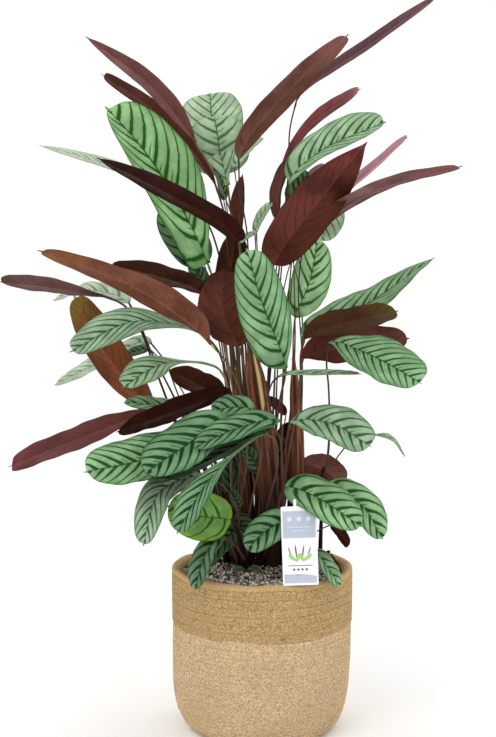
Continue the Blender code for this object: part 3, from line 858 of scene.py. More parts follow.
def rings_of(node, count):
    """The node's points in rings of count, from its foot on the crown to its tip."""
    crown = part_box("potting_soil")[1].z
    shape = bmesh.new()
    shape.from_mesh(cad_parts[node].data)
    bmesh.ops.remove_doubles(shape, verts=shape.verts, dist=WELD)
    low = [vertex for vertex in shape.verts if abs(vertex.co.z - crown) < 0.001]
    layer = sorted(low, key=lambda vertex: vertex.co.xy.length)[:count]
    seen = set(layer)
    rings = []
    while layer:
        rings.append(np.array([vertex.co for vertex in layer]))
        near = {edge.other_vert(vertex) for vertex in layer for edge in vertex.link_edges}
        layer = list(near - seen)
        seen |= near
    shape.free()
    if any(len(ring) != count for ring in rings):
        raise RuntimeError(f"{node} is not made of rings of {count} points")
    return rings


def margins(ring):
    """The two points of a blade ring that lie farthest apart, and the rest of it."""
    apart = np.linalg.norm(ring[:, None] - ring[None], axis=2)
    pair = np.unravel_index(np.argmax(apart), apart.shape)
    return ring[list(pair)], np.delete(ring, pair, axis=0)


def leaf_shape(node):
    """Reads a leaf's stalk, blade, facing and width off its solid."""
    rings = rings_of(node, RING)
    stalk_rings = rings[:-BLADE_RINGS]
    blade_rings = rings[-BLADE_RINGS:-1]
    stalk = np.array([ring.mean(axis=0) for ring in stalk_rings])
    spokes = [ring - ring.mean(axis=0) for ring in stalk_rings]
    radii = np.array([np.linalg.norm(spoke, axis=1).mean() for spoke in spokes])
    centers = []
    normals = []
    halves = []
    for ring in blade_rings:
        ends, rest = margins(ring)
        rise = ends.mean(axis=0) - rest.mean(axis=0)
        centers.append(rest.mean(axis=0) - MIDRIB_DROP * rise)
        normals.append(rise)
        halves.append(np.linalg.norm(ends[0] - ends[1]) / 2)
    blade = np.array([stalk[-1], *centers, rings[-1].mean(axis=0)])
    normals = unit(np.array([normals[0], *normals, normals[-1]]))
    return LeafShape(stalk, radii, blade, normals, max(halves))


def outline(u, form, side):
    """Half width at u from base to tip, as a part of the greatest: oblong, with a thin tip."""
    lean = math.log(0.5) / math.log(form.widest + side * form.skew)
    base = form.base + side * form.taper
    tip = form.tip - min(side, 0) * form.taper
    body_u = np.clip(u / (1 - TIP_PART), 0, 1) ** lean
    swell = np.clip(1 - np.abs(2 * body_u - 1) ** OBLONG, 0, 1)
    body = swell ** (base + (tip - base) * body_u)
    spike = SPIKE_HALF * form.point * np.clip((1 - u) / SPIKE_PART, 0, 1) ** 0.7
    foot = FOOT_HALF * np.clip(1 - u / FOOT_PART, 0, 1)
    return np.maximum((body**3 + spike**3) ** (1 / 3), foot)


def vein_run(u, out):
    """Where on the midrib the side vein through this point starts, from base 0 to tip 1."""
    reach = VEIN_REACH * (1 - u**12) * smooth_step(u / 0.40)
    return u - reach * (0.68 * out + 0.32 * out**3)


class Wave(NamedTuple):
    """The ripple of one margin."""

    phase: float
    turns: float
    fine_phase: float
    fine_turns: float


def ripple(u, wave):
    """The wave of a margin at u."""
    slow = np.sin(2 * math.pi * (wave.turns * u + wave.phase))
    fast = np.sin(2 * math.pi * (wave.fine_turns * u + wave.fine_phase))
    return (slow + 0.45 * fast) * smooth_step(u / 0.15) * smooth_step((1 - u) / 0.10)


def blade_rows(count):
    """The rows of a blade, closer together at its base and at the shoulders of its tip."""
    even = np.linspace(0, 1, count)
    body = (1 - TIP_PART) * (0.35 * even + 0.65 * (0.5 - 0.5 * np.cos(math.pi * even)))
    return np.concatenate([body, np.linspace(1 - TIP_PART, 1, TIP_ROWS + 1)[1:]])


def blade_axes(shape, form, u):
    """The midrib, and the directions across and out of the blade at each of its points."""
    center = resampled(shape.blade, u)
    center[:, 1] += form.push * (1 - smooth_step(u / 0.75))
    directions = unit(np.gradient(center, axis=0))
    knots = arc_lengths(shape.blade) / arc_lengths(shape.blade)[-1]
    normals = np.stack([np.interp(u, knots, shape.normals[:, k]) for k in range(3)], axis=1)
    normals = square_to(normals, directions)
    sides = np.cross(directions, normals)
    roll = np.radians(form.roll + form.twist * smooth_step(u))[:, None]
    normals = np.cos(roll) * normals + np.sin(roll) * sides
    sides = np.cross(directions, normals)
    center = center + sides * (form.bow * np.sin(math.pi * u) + form.veer * u**4)[:, None]
    return center, sides, normals


def blade_halves(shape, form, u, across):
    """The half width at every point, for the left and the right half."""
    left, right = (shape.half * form.width * outline(u, form, side) for side in (-1, 1))
    return np.where(across < 0, form.left * left[:, None], form.right * right[:, None])


def margin_waves(rng):
    """The ripples of the left and the right margin."""
    return [
        Wave(rng.uniform(0, 1), rng.uniform(1.6, 2.8), rng.uniform(0, 1), rng.uniform(4.5, 6.5))
        for _ in range(2)
    ]


def blade_lift(form, u, across, waves, settings):
    """How far each point stands off the blade's plane, as a part of the half width there."""
    size = np.abs(across)
    profile = form.fold * (settings.rise * size - settings.sag * size**2.6)
    waving = np.stack([ripple(u, wave) for wave in waves], axis=1)[:, np.where(across < 0, 0, 1)]
    return profile[None, :] + settings.ripple * form.ripple * waving * size**2.2


def quilting(u, across, vein, height):
    """The rise of the blade between its side veins."""
    size = np.abs(across)
    quilt = height * np.abs(np.sin(math.pi * (vein - 0.5)))
    quilt *= smooth_step(size / 0.12) * smooth_step((1 - size) / 0.1)
    return quilt * smooth_step((1 - u) / 0.12)[:, None]


def add_blade(mesh, shape, form, rng, settings):
    """The blade: an upper skin and an underside that meet at the margins."""
    is_bud = shape.half < BUD_HALF
    u = blade_rows(BUD_ROWS if is_bud else BODY_ROWS)
    out = np.array((0.0, *(BUD_COLUMNS if is_bud else SIDE_COLUMNS)))
    across = np.concatenate([-out[:0:-1], out])
    center, sides, normals = blade_axes(shape, form, u)
    count = max(5, round(1 + form.veins * arc_lengths(center)[-1] / settings.vein_spacing))
    vein = vein_run(u[:, None], np.abs(across)[None, :]) * count
    vein = vein + np.where(across > 0, 0.5, 0.0)[None, :]
    halves = blade_halves(shape, form, u, across)
    offset = across[None, :] * halves
    lift = blade_lift(form, u, across, margin_waves(rng), settings)
    rise = lift * halves + quilting(u, across, vein, settings.quilting)
    middle = center[:, None] + sides[:, None] * offset[..., None]
    middle = middle + normals[:, None] * rise[..., None]
    skin = settings.thickness / 2 * smooth_step((1 - np.abs(across)) / 0.03)
    rib = settings.midrib * (1 - 0.75 * u)[:, None] * np.exp(-((offset / RIB_SPREAD) ** 2))
    top = middle + normals[:, None] * (skin[None, :] - 0.15 * rib)[..., None]
    under = middle - normals[:, None] * (skin[None, :] + rib)[..., None]
    add_skins(mesh, top, under, across, u, vein)


def add_skins(mesh, top, under, across, u, vein):
    """Joins the two skins of a blade along their margins and closes its ends."""
    rows, columns = top.shape[:2]
    around = np.concatenate([np.arange(columns), np.arange(columns - 2, 0, -1)])
    rings = np.concatenate([top, under[:, columns - 2 : 0 : -1]], axis=1)
    faces, corner_rows, corner_columns = grid_faces(rows, len(around))
    column = around[corner_columns % len(around)]
    is_top = corner_columns[:, 0] < columns - 1
    # A corner on the midrib takes the vein count of the side that its face lies on.
    on_right = (across[column].mean(axis=1) > 0)[:, None]
    shift = np.where(on_right & (across[column] <= 0), 0.5, 0.0)
    pattern = np.stack([0.5 + 0.5 * across[column], vein[corner_rows, column] + shift], axis=-1)
    place = np.stack([0.5 + 0.5 * across[column], u[corner_rows]], axis=-1)
    first = mesh.count
    mesh.add(rings.reshape(-1, 3), faces, np.where(is_top, 0, 1), pattern, place)
    for row in (0, rows - 1):
        add_fan(mesh, rings, row, first, 1, (0.5, u[row]), (0.5, u[row]))


def add_stalk(mesh, shape, form, stout, rng, settings, finish):
    """The petiole: a sheath with a slanting lip, a thin stalk and a swollen joint."""
    whole = arc_lengths(shape.stalk)[-1]
    joint = settings.joint_length / whole
    even = np.linspace(0, 1, max(12, round(whole / STALK_STEP)))
    along = np.sort(np.concatenate([even, 1 - joint * np.array(JOINT_ROWS)]))
    center = resampled(shape.stalk, along)
    center[:, 1] += form.push * smooth_step((along - 0.6) / 0.4)
    center[:, 0] += form.sway * np.sin(math.pi * along) ** 1.5
    knots = arc_lengths(shape.stalk) / whole
    radius = np.interp(along, knots, shape.radii) * settings.fullness * stout
    directions = unit(np.gradient(center, axis=0))
    normals = carried_normals(directions, unit(FRONT - directions[0] * (FRONT @ directions[0])))
    sides = np.cross(directions, normals)
    angles = np.arange(STALK_SIDES) * 2 * math.pi / STALK_SIDES
    facing = rng.uniform(0, 2 * math.pi)
    lip = settings.sheath_part * rng.uniform(0.8, 1.1)
    under_lip = lip - along[:, None] + LIP_SLANT / whole * np.cos(angles - facing)
    sheath = smooth_step(under_lip / (LIP_STEP / whole))
    bulge = np.exp(-(((along - 1 + joint * 0.55) / (joint * 0.42)) ** 2))
    swell = 1 + (settings.joint_swell - 1) * bulge
    wide = radius[:, None] * (0.92 + 0.22 * sheath) * swell[:, None]
    ring = np.stack([np.cos(angles), np.sin(angles)], axis=1)[None, ..., None]
    across = ring[:, :, 0] * sides[:, None] + ring[:, :, 1] * normals[:, None]
    rings = center[:, None] + wide[..., None] * across
    add_tube(mesh, rings, finish, along, along * whole)


CANE_ROWS = 110
CANE_SIDES = 64


class CaneForm(NamedTuple):
    """How a cane's sheaths swell beyond its solid, how its top leans, and its tone."""

    stout: float
    top: float
    lean: float
    tone: str


CANES = {
    "cane_main": CaneForm(1.22, 0.75, -0.0045, "gilded"),
    "cane_right": CaneForm(1.18, 0.22, 0.0, "cane"),
    "cane_left": CaneForm(1.05, 0.10, 0.0, "cane"),
}


def wrapped_sheaths(along, angles, rng, settings):
    """Radius of the sheaths over the cane's own, and where one lies tucked under the next."""
    shape = np.full((len(along), len(angles)), 0.84)
    tucked = np.zeros_like(shape)
    for k in range(settings.wraps):
        start = 2.4 * k + 0.6 + rng.uniform(-0.5, 0.5) * along[:, None]
        turn = ((angles - start) / (2 * math.pi)) % 1
        lip = 0.45 + 0.6 * (k + 0.5) / settings.wraps + 0.03 * np.cos(angles - 2.4 * k)
        there = smooth_step((lip - along[:, None]) / 0.012)
        shape = shape + settings.wrap_depth * there * (1 - turn) ** 1.5
        tucked = np.maximum(tucked, there * smooth_step((turn - 0.94) / 0.05))
    for count, phase in ((9, 0.4), (17, 2.0), (29, 4.1)):
        swing = np.cos(count * angles + phase + 2 * along[:, None])
        shape = shape + settings.ribs * swing * (9 / count) ** 0.5
    return shape, tucked


def add_cane(mesh, node, form, settings, finish):
    """A cane: overlapping sheaths, each with a raised edge, fine ribs and a lip of its own."""
    corners = np.array([vertex.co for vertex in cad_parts[node].data.vertices])
    z = corners[:, 2]
    bends = [np.polynomial.Polynomial.fit(z, corners[:, k], 4) for k in (0, 1)]
    away = np.hypot(corners[:, 0] - bends[0](z), corners[:, 1] - bends[1](z))
    thickness = np.polynomial.Polynomial.fit(z, away, 1)
    heights = np.linspace(z.min(), z.max(), CANE_ROWS)
    along = (heights - heights[0]) / (heights[-1] - heights[0])
    growing = smooth_step(along)
    center = np.column_stack([bends[0](heights) + form.lean * growing, bends[1](heights), heights])
    angles = np.arange(CANE_SIDES) * 2 * math.pi / CANE_SIDES
    shape, tucked = wrapped_sheaths(along, angles, np.random.default_rng(len(node)), settings)
    taper = 1 - 0.62 * smooth_step((along - 0.82) / 0.18)
    wide = shape * (thickness(heights) * taper * form.stout * (1 + form.top * growing))[:, None]
    ring = np.stack([np.cos(angles), np.sin(angles), 0 * angles], axis=1)
    rings = center[:, None] + wide[..., None] * ring[None]
    add_tube(mesh, rings, finish, 0.98 * along - 0.10, along * (heights[-1] - heights[0]), tucked)


class Look(NamedTuple):
    """Tones of a leaf's upper side, underside and stalk, and how stout the stalk is."""

    top: str = "silver"
    under: str = "wine"
    stalk: str = "brown"
    stout: float = 1.0


LOOKS = {
    1: Look("silver", "mauve", "tan"),
    2: Look("pale", "brown", "brown", 1.25),
    3: Look("fresh", "wine", "tan", 1.25),
    4: Look("silver", "dark", "brown", 1.25),
    5: Look("frost", "mauve", "dark", 1.25),
    6: Look("pale", "wine", "tan", 1.25),
    7: Look("silver", "russet", "dark"),
    8: Look("deep", "violet", "dark"),
    9: Look("silver", "crimson", "dark", 0.8),
    10: Look("mist", "wine", "brown", 0.8),
    11: Look("silver", "plum", "dark", 0.8),
    12: Look("silver", "flame", "red"),
    13: Look("silver", "pink", "dark", 0.8),
    14: Look("silver", "mauve", "dark", 0.8),
    15: Look("pale", "wine", "dark", 0.8),
    16: Look("bright", "wine", "brown"),
    17: Look("silver", "brown", "brown", 1.25),
    18: Look("silver", "wine", "red", 1.3),
    19: Look("silver", "brown", "brown", 1.25),
    20: Look("silver", "rosy", "olive"),
    21: Look("silver", "bark", "tan", 1.25),
    22: Look("silver", "grey", "black", 1.4),
    23: Look("frost", "mauve", "black", 1.2),
    24: Look("grey", "brown", "dark", 1.25),
    25: Look("silver", "rust", "dark"),
    26: Look("mist", "brown", "tan", 1.25),
    27: Look("silver", "bark", "dark"),
    28: Look("frost", "wine", "dark"),
    29: Look("mist", "dark", "dark"),
    30: Look("silver", "wine", "dark", 1.2),
    31: Look("silver", "olive", "red"),
    32: Look("silver", "brown", "red"),
    34: Look("silver", "dark", "tan"),
    35: Look("silver", "plum", "dark"),
    37: Look("bold", "wine", "brown"),
    38: Look("sage", "wine", "brown"),
    39: Look("sage", "wine", "brown"),
    40: Look("sage", "wine", "brown"),
    41: Look("deep", "brown", "brown"),
    42: Look("sage", "wine", "brown"),
    43: Look("grey", "wine", "brown"),
    44: Look("young", "lime", "black", 1.0),
    45: Look("deep", "wine", "brown"),
    46: Look("sage", "wine", "brown"),
    47: Look("grey", "wine", "red"),
    48: Look("mist", "mauve", "dark"),
    49: Look("silver", "russet", "red"),
    50: Look("bold", "wine", "brown"),
    51: Look("bold", "wine", "brown"),
    52: Look("silver", "wine", "dark"),
}

FORMS = {
    1: LeafForm(width=0.94, base=1.1, tip=0.75, widest=0.48, fold=0.6, ripple=0.3),
    2: LeafForm(width=0.74, base=0.9, tip=0.26, point=0.4, fold=0.6, ripple=0.5),
    3: LeafForm(
        left=0.86, right=1.30, bow=0.004, veer=-0.010, widest=0.44, skew=0.18, taper=0.22,
        tip=0.32, veins=0.76,
    ),
    4: LeafForm(width=0.78, widest=0.40, base=0.40, tip=0.66, ripple=0.3),
    5: LeafForm(width=0.85, tip=0.60, ripple=0.4),
    6: LeafForm(widest=0.64, base=0.95),
    7: LeafForm(width=0.76, widest=0.42, base=0.80, tip=0.32, fold=0.35, ripple=0.5),
    8: LeafForm(width=0.78, base=0.7, fold=0.5, ripple=0.15),
    9: LeafForm(width=0.76, base=0.7, tip=0.32, fold=0.6, sway=-0.008, ripple=0.4),
    10: LeafForm(
        left=1.35, right=0.72, bow=0.005, base=0.24, tip=0.40, widest=0.44, sway=0.017, ripple=0.5,
    ),
    11: LeafForm(width=0.72, sway=-0.022, ripple=0.5),
    12: LeafForm(widest=0.40, base=0.46, tip=0.95, fold=0.4, sway=-0.008, ripple=0.6),
    13: LeafForm(width=1.2, tip=0.32, fold=0.6, sway=0.024, ripple=0.4),
    14: LeafForm(base=0.62, tip=0.30, fold=0.6, push=0.09, ripple=0.4),
    15: LeafForm(sway=0.022),
    16: LeafForm(sway=0.007),
    17: LeafForm(width=0.72, tip=0.80, ripple=0.4),
    18: LeafForm(left=0.98, right=0.84, widest=0.50, skew=0.10, base=0.90, tip=0.38, ripple=0.5),
    19: LeafForm(width=1.12, widest=0.50, base=0.5, tip=0.42),
    20: LeafForm(
        right=0.82, widest=0.40, skew=0.08, base=3.2, tip=0.40, bow=-0.009, fold=0.7, ripple=0.6,
    ),
    21: LeafForm(ripple=0.8),
    22: LeafForm(width=1.10, widest=0.68, base=1.2, tip=0.40, fold=0.8, ripple=0.5),
    24: LeafForm(width=0.96, widest=0.66, base=1.4, tip=0.34, ripple=0.6),
    25: LeafForm(width=0.95, widest=0.56, tip=0.36, fold=0.6, ripple=0.6),
    26: LeafForm(width=1.05, widest=0.74, base=2.2, tip=0.34),
    27: LeafForm(width=1.15, roll=28, tip=0.6),
    29: LeafForm(width=0.62, ripple=0.3),
    30: LeafForm(width=1.12, widest=0.60, tip=0.28, point=0.3, base=0.80, veins=1.3),
    31: LeafForm(tip=0.36, widest=0.55, base=0.6, fold=0.6),
    32: LeafForm(width=1.04, tip=0.42, base=0.8, roll=-28, fold=0.6),
    33: LeafForm(widest=0.40, base=0.65, tip=0.56, twist=-8),
    34: LeafForm(width=1.06, roll=25, bow=0.014, fold=0.8, ripple=0.9),
    35: LeafForm(width=0.82, widest=0.62, base=0.72, tip=0.24, point=0.3, fold=0.5, ripple=0.8),
    37: LeafForm(width=1.14, widest=0.62, base=0.9, tip=0.36),
    38: LeafForm(width=1.10, widest=0.52, base=0.7, tip=0.38),
    42: LeafForm(width=1.22, widest=0.76, base=1.7, tip=0.36),
    43: LeafForm(width=0.84, base=0.75, tip=0.40),
    46: LeafForm(width=0.86),
    47: LeafForm(width=1.06, widest=0.58, base=0.80, tip=0.30, point=0.3),
    48: LeafForm(width=0.80, widest=0.74, base=2.6, tip=0.30, ripple=0.5),
    49: LeafForm(tip=0.40, widest=0.46, fold=0.5),
    50: LeafForm(push=0.035),
}


SMALL_STALK_FOOT = 0.0020  # radius of a small leaf's stalk in the soil
SMALL_STALK_TOP = 0.0010


class SmallLeaf(NamedTuple):
    """A small leaf between the others, with its foot, base, tip and half width in millimetres."""

    foot: tuple
    base: tuple
    tip: tuple
    half: float
    facing: tuple
    look: Look


SMALL_LEAVES = (
    # tops of the bundle of stalks on the left, and the leaves between them
    ((-30, 40), (-58, 40, 545), (-56, 40, 580), 4, (0.2, 0.9, 0.2), Look("deep", "bark")),
    ((-40, 30), (-50, 30, 555), (-50, 30, 590), 4, (0.2, 0.9, 0.2), Look("deep", "bark")),
    ((-15, 35), (-40, 35, 560), (-41, 35, 600), 4, (0.2, 0.9, 0.2), Look("deep", "bark")),
    ((-35, 45), (-32, 30, 545), (-34, 30, 585), 4, (0.2, 0.9, 0.2), Look("deep", "dark")),
    ((-20, 30), (-48, 20, 575), (-34, 20, 655), 21, (0.2, 0.9, 0.2), Look("deep", "bark")),
    ((-30, 26), (-75, 6, 617), (-126, 6, 695), 27, (-0.2, -0.9, 0.2), Look("deep")),
    ((-30, 20), (-74, 40, 584), (-94, 40, 617), 12, (0.2, -0.9, 0.4), Look("deep")),
    ((-10, 30), (-36, 30, 743), (1, 50, 783), 13, (-0.5, -0.6, 0.6), Look("pale")),
    # behind the round leaf at the top, and the buds in the middle
    ((-20, 25), (-53, 64, 734), (-63, 60, 812), 40, (0.1, -0.9, 0.3), Look("pale")),
    ((-20, 25), (-50, 40, 700), (-58, 45, 737), 8, (0.5, -0.8, 0.3), Look("deep")),
    ((0, 15), (-9, 0, 658), (14, 0, 698), 11, (-0.6, -0.5, 0.6), Look("pale")),
    ((0, 10), (-7, -10, 660), (-28, -10, 646), 6, (-0.2, -0.6, 0.8), Look("pale")),
    ((20, 20), (52, 30, 712), (85, 50, 747), 9, (-0.3, 0.8, 0.5), Look("silver", "pink")),
    ((10, 25), (36, 20, 698), (62, 30, 738), 15, (0.2, -0.9, 0.4), Look("deep")),
    ((-40, 20), (-150, 50, 502), (-182, 60, 492), 8, (-0.2, -0.8, 0.6), Look("deep")),
    # low leaves over the gravel
    ((-30, -30), (-48, -68, 268), (-80, -88, 236), 15, (-0.2, -0.9, 0.3), Look("night")),
    ((-15, -20), (-36, -30, 290), (-12, -44, 264), 14, (0.2, -0.9, 0.3), Look("night")),
    ((-20, -25), (-32, -36, 277), (-57, -56, 248), 15, (-0.3, -0.9, 0.3), Look("night")),
    ((-20, -10), (-30, -28, 300), (-41, -38, 326), 10, (0.5, -0.8, 0.2), Look("night")),
    ((-20, -40), (-24, -55, 226), (-38, -62, 224), 6, (-0.2, -0.6, 0.8), Look("deep")),
    ((-16, -40), (-16, -55, 227), (-2, -62, 225), 6, (0.2, -0.6, 0.8), Look("deep")),
    ((35, 20), (52, 20, 411), (80, 30, 424), 8, (0.1, 0.8, 0.6), Look("silver", "dark")),
    ((40, 10), (92, 0, 272), (114, -10, 244), 12, (0.5, 0.7, 0.5), Look("silver", "brown")),
    ((20, 35), (33, 40, 414), (4, 40, 437), 9, (0.2, 0.8, 0.5), Look("silver", "mauve")),
    # leaves deep in the clump, their darker green painted shade
    ((20, 20), (29, 20, 320), (22, 30, 390), 15, (-0.2, -0.95, 0.2), Look("night")),
    ((25, 25), (26, 30, 338), (42, 30, 384), 13, (0.3, -0.9, 0.2), Look("night")),
    ((-5, -15), (0, -20, 348), (-21, -30, 382), 13, (-0.3, -0.9, 0.3), Look("night")),
    ((20, 30), (24, 30, 378), (44, 30, 402), 12, (0.2, 0.9, 0.3), Look("silver", "dark")),
    ((-20, 10), (-34, 15, 296), (-46, 15, 362), 12, (-0.2, -0.9, 0.3), Look("night")),
    ((-26, 15), (-47, 20, 275), (-66, 20, 336), 10, (0.3, 0.9, 0.2), Look("night", "dark")),
    ((-16, 10), (-25, 10, 340), (-37, 10, 384), 12, (0.2, -0.9, 0.3), Look("night")),
    ((-30, 0), (-36, 0, 262), (-48, 0, 318), 5, (0.2, 0.9, 0.2), Look("night", "dark")),
    ((-36, 5), (-46, 5, 250), (-56, 5, 300), 6, (0.2, 0.9, 0.2), Look("night", "bark")),
    ((-24, 0), (-27, 0, 270), (-30, 0, 340), 6, (0.3, 0.9, 0.2), Look("night", "dark")),
    ((-18, 5), (-16, 5, 270), (-12, 5, 345), 6, (-0.3, 0.9, 0.2), Look("night", "dark")),
    # stout stalks in front, in the bundle and beside the tag
    ((-22, -32), (-37, -80, 290), (-36, -70, 297), 3, (0.0, 0.9, 0.3), Look("night", "bark", "black", 2.8)),
    ((-30, 20), (-47, 20, 560), (-47, 20, 590), 4, (0.2, 0.9, 0.2), Look("deep", "bark", "brown", 2.2)),
    ((-22, 22), (-39, 24, 560), (-39, 24, 590), 4, (0.2, 0.9, 0.2), Look("deep", "bark", "olive", 2.0)),
    ((-16, 26), (-31, 28, 560), (-32, 28, 590), 4, (0.2, 0.9, 0.2), Look("deep", "bark", "brown", 2.4)),
    ((79, 25), (83, 22, 322), (84, 26, 345), 4, (0.0, 0.9, 0.3), Look("night", "dark", "black", 1.8)),
)


def small_leaf_shape(leaf):
    """The stalk and the blade of a small leaf, from the crown up."""
    foot, base, tip = (np.array(point) / 1000 for point in (leaf.foot, leaf.base, leaf.tip))
    foot = np.array((*foot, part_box("potting_soil")[1].z - 0.002))
    t = np.linspace(0, 1, 12)[:, None]
    knee = foot + (base - foot) * (0.25, 0.25, 0.75)
    stalk = (1 - t) ** 2 * foot + 2 * t * (1 - t) * knee + t**2 * base
    reach = base + (tip - base) * t
    arch = 0.10 * np.linalg.norm(tip - base) * 4 * t * (1 - t)
    facing = unit(np.array(leaf.facing))
    blade = reach + arch * facing
    directions = unit(np.gradient(blade, axis=0))
    normals = square_to(np.tile(facing, (len(t), 1)), directions)
    radii = np.linspace(SMALL_STALK_FOOT, SMALL_STALK_TOP, len(t))
    return LeafShape(stalk, radii, blade, normals, leaf.half / 1000)


# Basket


ROW_STEPS = 5  # rings of points to one row of braid
STITCH_STEPS = 3  # columns of points to one stitch
ROW_WANDER = 0.16  # how far a seam strays from its row, in rows
RIM_WAVE = 0.0042  # how far the rim waves up and down
WAVY_ABOVE = 0.175  # the wall over this height takes part in the rim's wave


def wall_outline(node):
    """Radius and height of a turned node's outside, from its base to its widest ring on top."""
    corners = np.array([vertex.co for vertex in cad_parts[node].data.vertices])
    radius = np.hypot(corners[:, 0], corners[:, 1])
    outline = [(0.0, 0.0)]
    for z in np.unique(np.round(corners[:, 2], 5)):
        widest = radius[np.abs(corners[:, 2] - z) < 1e-4].max()
        if widest > outline[-1][0] - 1e-5:
            outline.append((widest, z))
    return np.array(outline[1:])


def flat_path(points):
    """The points with a third coordinate of 0."""
    return np.column_stack([points, np.zeros(len(points))])


def basket_line(settings):
    """Radius and height along the basket's skin, and where on it the wall ends and the rim begins."""
    outer = wall_outline("basket")
    wall_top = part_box("basket")[1].z - settings.rim / 2
    outer = outer[outer[:, 1] < wall_top]
    outer = np.concatenate([outer, [(outer[-1, 0], wall_top)]])
    steps = round(arc_lengths(flat_path(outer))[-1] / settings.row_height * ROW_STEPS)
    wall = resampled(flat_path(outer), np.linspace(0, 1, steps + 1))[:, :2]
    middle = wall[-1, 0] - settings.rim / 2
    arch = np.linspace(0, math.pi, 8)[1:-1]
    rim = settings.rim / 2 * np.column_stack([np.cos(arch), np.sin(arch)]) + (middle, wall_top)
    down = np.linspace(wall_top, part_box("gravel_topdressing")[0].z, 10)
    inside = np.column_stack([np.full(len(down), middle - settings.rim / 2), down])
    under = np.column_stack([np.linspace(0.01, outer[0, 0], 6)[:-1], np.zeros(5)])
    return np.concatenate([under, wall, rim, inside]), len(under) + len(wall)


def drift(angle, z, rng, waves):
    """A slow random wander round the basket, between about -1 and 1."""
    total = 0.0
    for k in waves:
        phase = rng.uniform(0, 2 * math.pi)
        total = total + rng.uniform(0.5, 1) * np.sin(k * angle + phase + rng.uniform(-30, 30) * z)
    return total / len(waves)


def braid_relief(settings, number, turn):
    """How far the braid stands out of the wall: its strands, its rows and its band."""
    leaning = STITCH_LEAN * (0.5 - np.abs(number % 1 - 0.5))
    strand = np.abs(np.sin(math.pi * (turn[None, :] * settings.stitches + leaning)))
    half = np.abs(np.sin(2 * math.pi * number))
    plump = settings.stitch * (strand * (0.45 + 0.55 * half) - 0.5)
    on_band = smooth_step((settings.band_rows - number) / 0.25)
    crown = np.abs(np.sin(math.pi * number)) ** 0.6 - 0.6
    swell = settings.row_swell * (0.4 + 0.6 * on_band) * crown
    return plump + swell + settings.band_step * on_band


def basket_points(settings, line, number, turn, rng):
    """The points of the basket's skin, ring by ring from under its base to inside its rim."""
    angle = 2 * math.pi * turn[None, :]
    z = line[:, 1:]
    wander = settings.unevenness * drift(angle, z, rng, (2, 3, 5, 8)) * smooth_step(z / 0.04)
    height = (braid_relief(settings, number, turn) + wander) * smooth_step(z / 0.012)
    slopes = np.gradient(line, axis=0)
    away = unit(np.stack([slopes[:, 1], -slopes[:, 0]], axis=1))
    radius = line[:, :1] + away[:, :1] * height
    up = z + away[:, 1:] * height
    lifted = smooth_step((z - WAVY_ABOVE) / 0.04)
    up = up + lifted * RIM_WAVE * drift(angle, 0 * z, rng, (2, 3, 5, 9, 14))
    return np.stack([radius * np.cos(angle), radius * np.sin(angle), up], axis=-1)


def woven_basket(settings):
    """One skin of sewn braid with a rolled rim; the band stands out over the wall."""
    line, wall_end = basket_line(settings)
    distance = arc_lengths(flat_path(line))
    row = (distance[wall_end] + settings.rim * 0.7 - distance) / settings.row_height
    columns = settings.stitches * STITCH_STEPS
    turn = np.arange(columns) / columns
    rng = np.random.default_rng(7)
    stray = drift(2 * math.pi * turn[None, :], line[:, 1:], rng, (1, 2, 3, 7))
    number = row[:, None] + ROW_WANDER * stray
    points = basket_points(settings, line, number, turn, rng)
    mesh = Mesh()
    faces, corner_rows, corner_columns = grid_faces(len(line), columns)
    numbers = number[corner_rows, corner_columns % columns]
    pattern = np.stack([corner_columns / columns, numbers], axis=-1)
    finish = np.where(numbers.mean(axis=1) < settings.band_rows, 0, 1)
    mesh.add(points.reshape(-1, 3), faces, finish, pattern)
    first = np.arange(columns)
    hub = np.column_stack([np.roll(first, -1), first, first]) - mesh.count
    hub[:, 2] = 0
    mesh.add(np.zeros((1, 3)), hub, 1)
    seam = tuple(settings.seam_color)
    band, wall = tuple(settings.band_color), tuple(settings.wall_color)
    finishes = [
        braided_jute("jute_band", band, seam, 0.62, 1.15, settings.stitches),
        braided_jute("jute_wall", wall, seam, 0.26, 1.0, settings.stitches),
    ]
    return mesh.build("jute_basket", finishes)


# Gravel and soil


MOUND_RISE = 0.004
CRUMB_REACH = 0.056  # crumbs of soil lie within this radius of the middle
# Where each heap of soil lies, its spread, its height and how many crumbs it has
SOIL_HEAPS = (((0.090, 0.030), 0.016, 0.020, 320), ((-0.068, 0.020), 0.014, 0.014, 220))


def dress(node, finish):
    """Gives a carried-over CAD node its finish."""
    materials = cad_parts[node].data.materials
    materials.clear()
    materials.append(finish)


def ground_outline():
    """Radius and height of the ground: the crown of soil, and the gravel that falls away from it."""
    nodes = [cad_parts[name].data for name in ("potting_soil", "gravel_topdressing")]
    corners = np.array([vertex.co for data in nodes for vertex in data.vertices])
    radius = np.hypot(corners[:, 0], corners[:, 1])
    edge = corners[radius > radius.max() - 0.0005, 2].max()
    on_top = corners[:, 2] > edge - 1e-4
    order = np.argsort(radius[on_top])
    return radius[on_top][order], corners[on_top][order, 2]


def ground(x, y):
    """Height of the ground, with a low mound of gravel in front of the stems."""
    radius, height = ground_outline()
    level = np.interp(np.hypot(x, y), radius, height)
    mound = MOUND_RISE * np.exp(-(x**2 + (y + 0.015) ** 2) / 0.05**2)
    return level + mound + 0.0012 * np.sin(90 * x) * np.cos(70 * y)


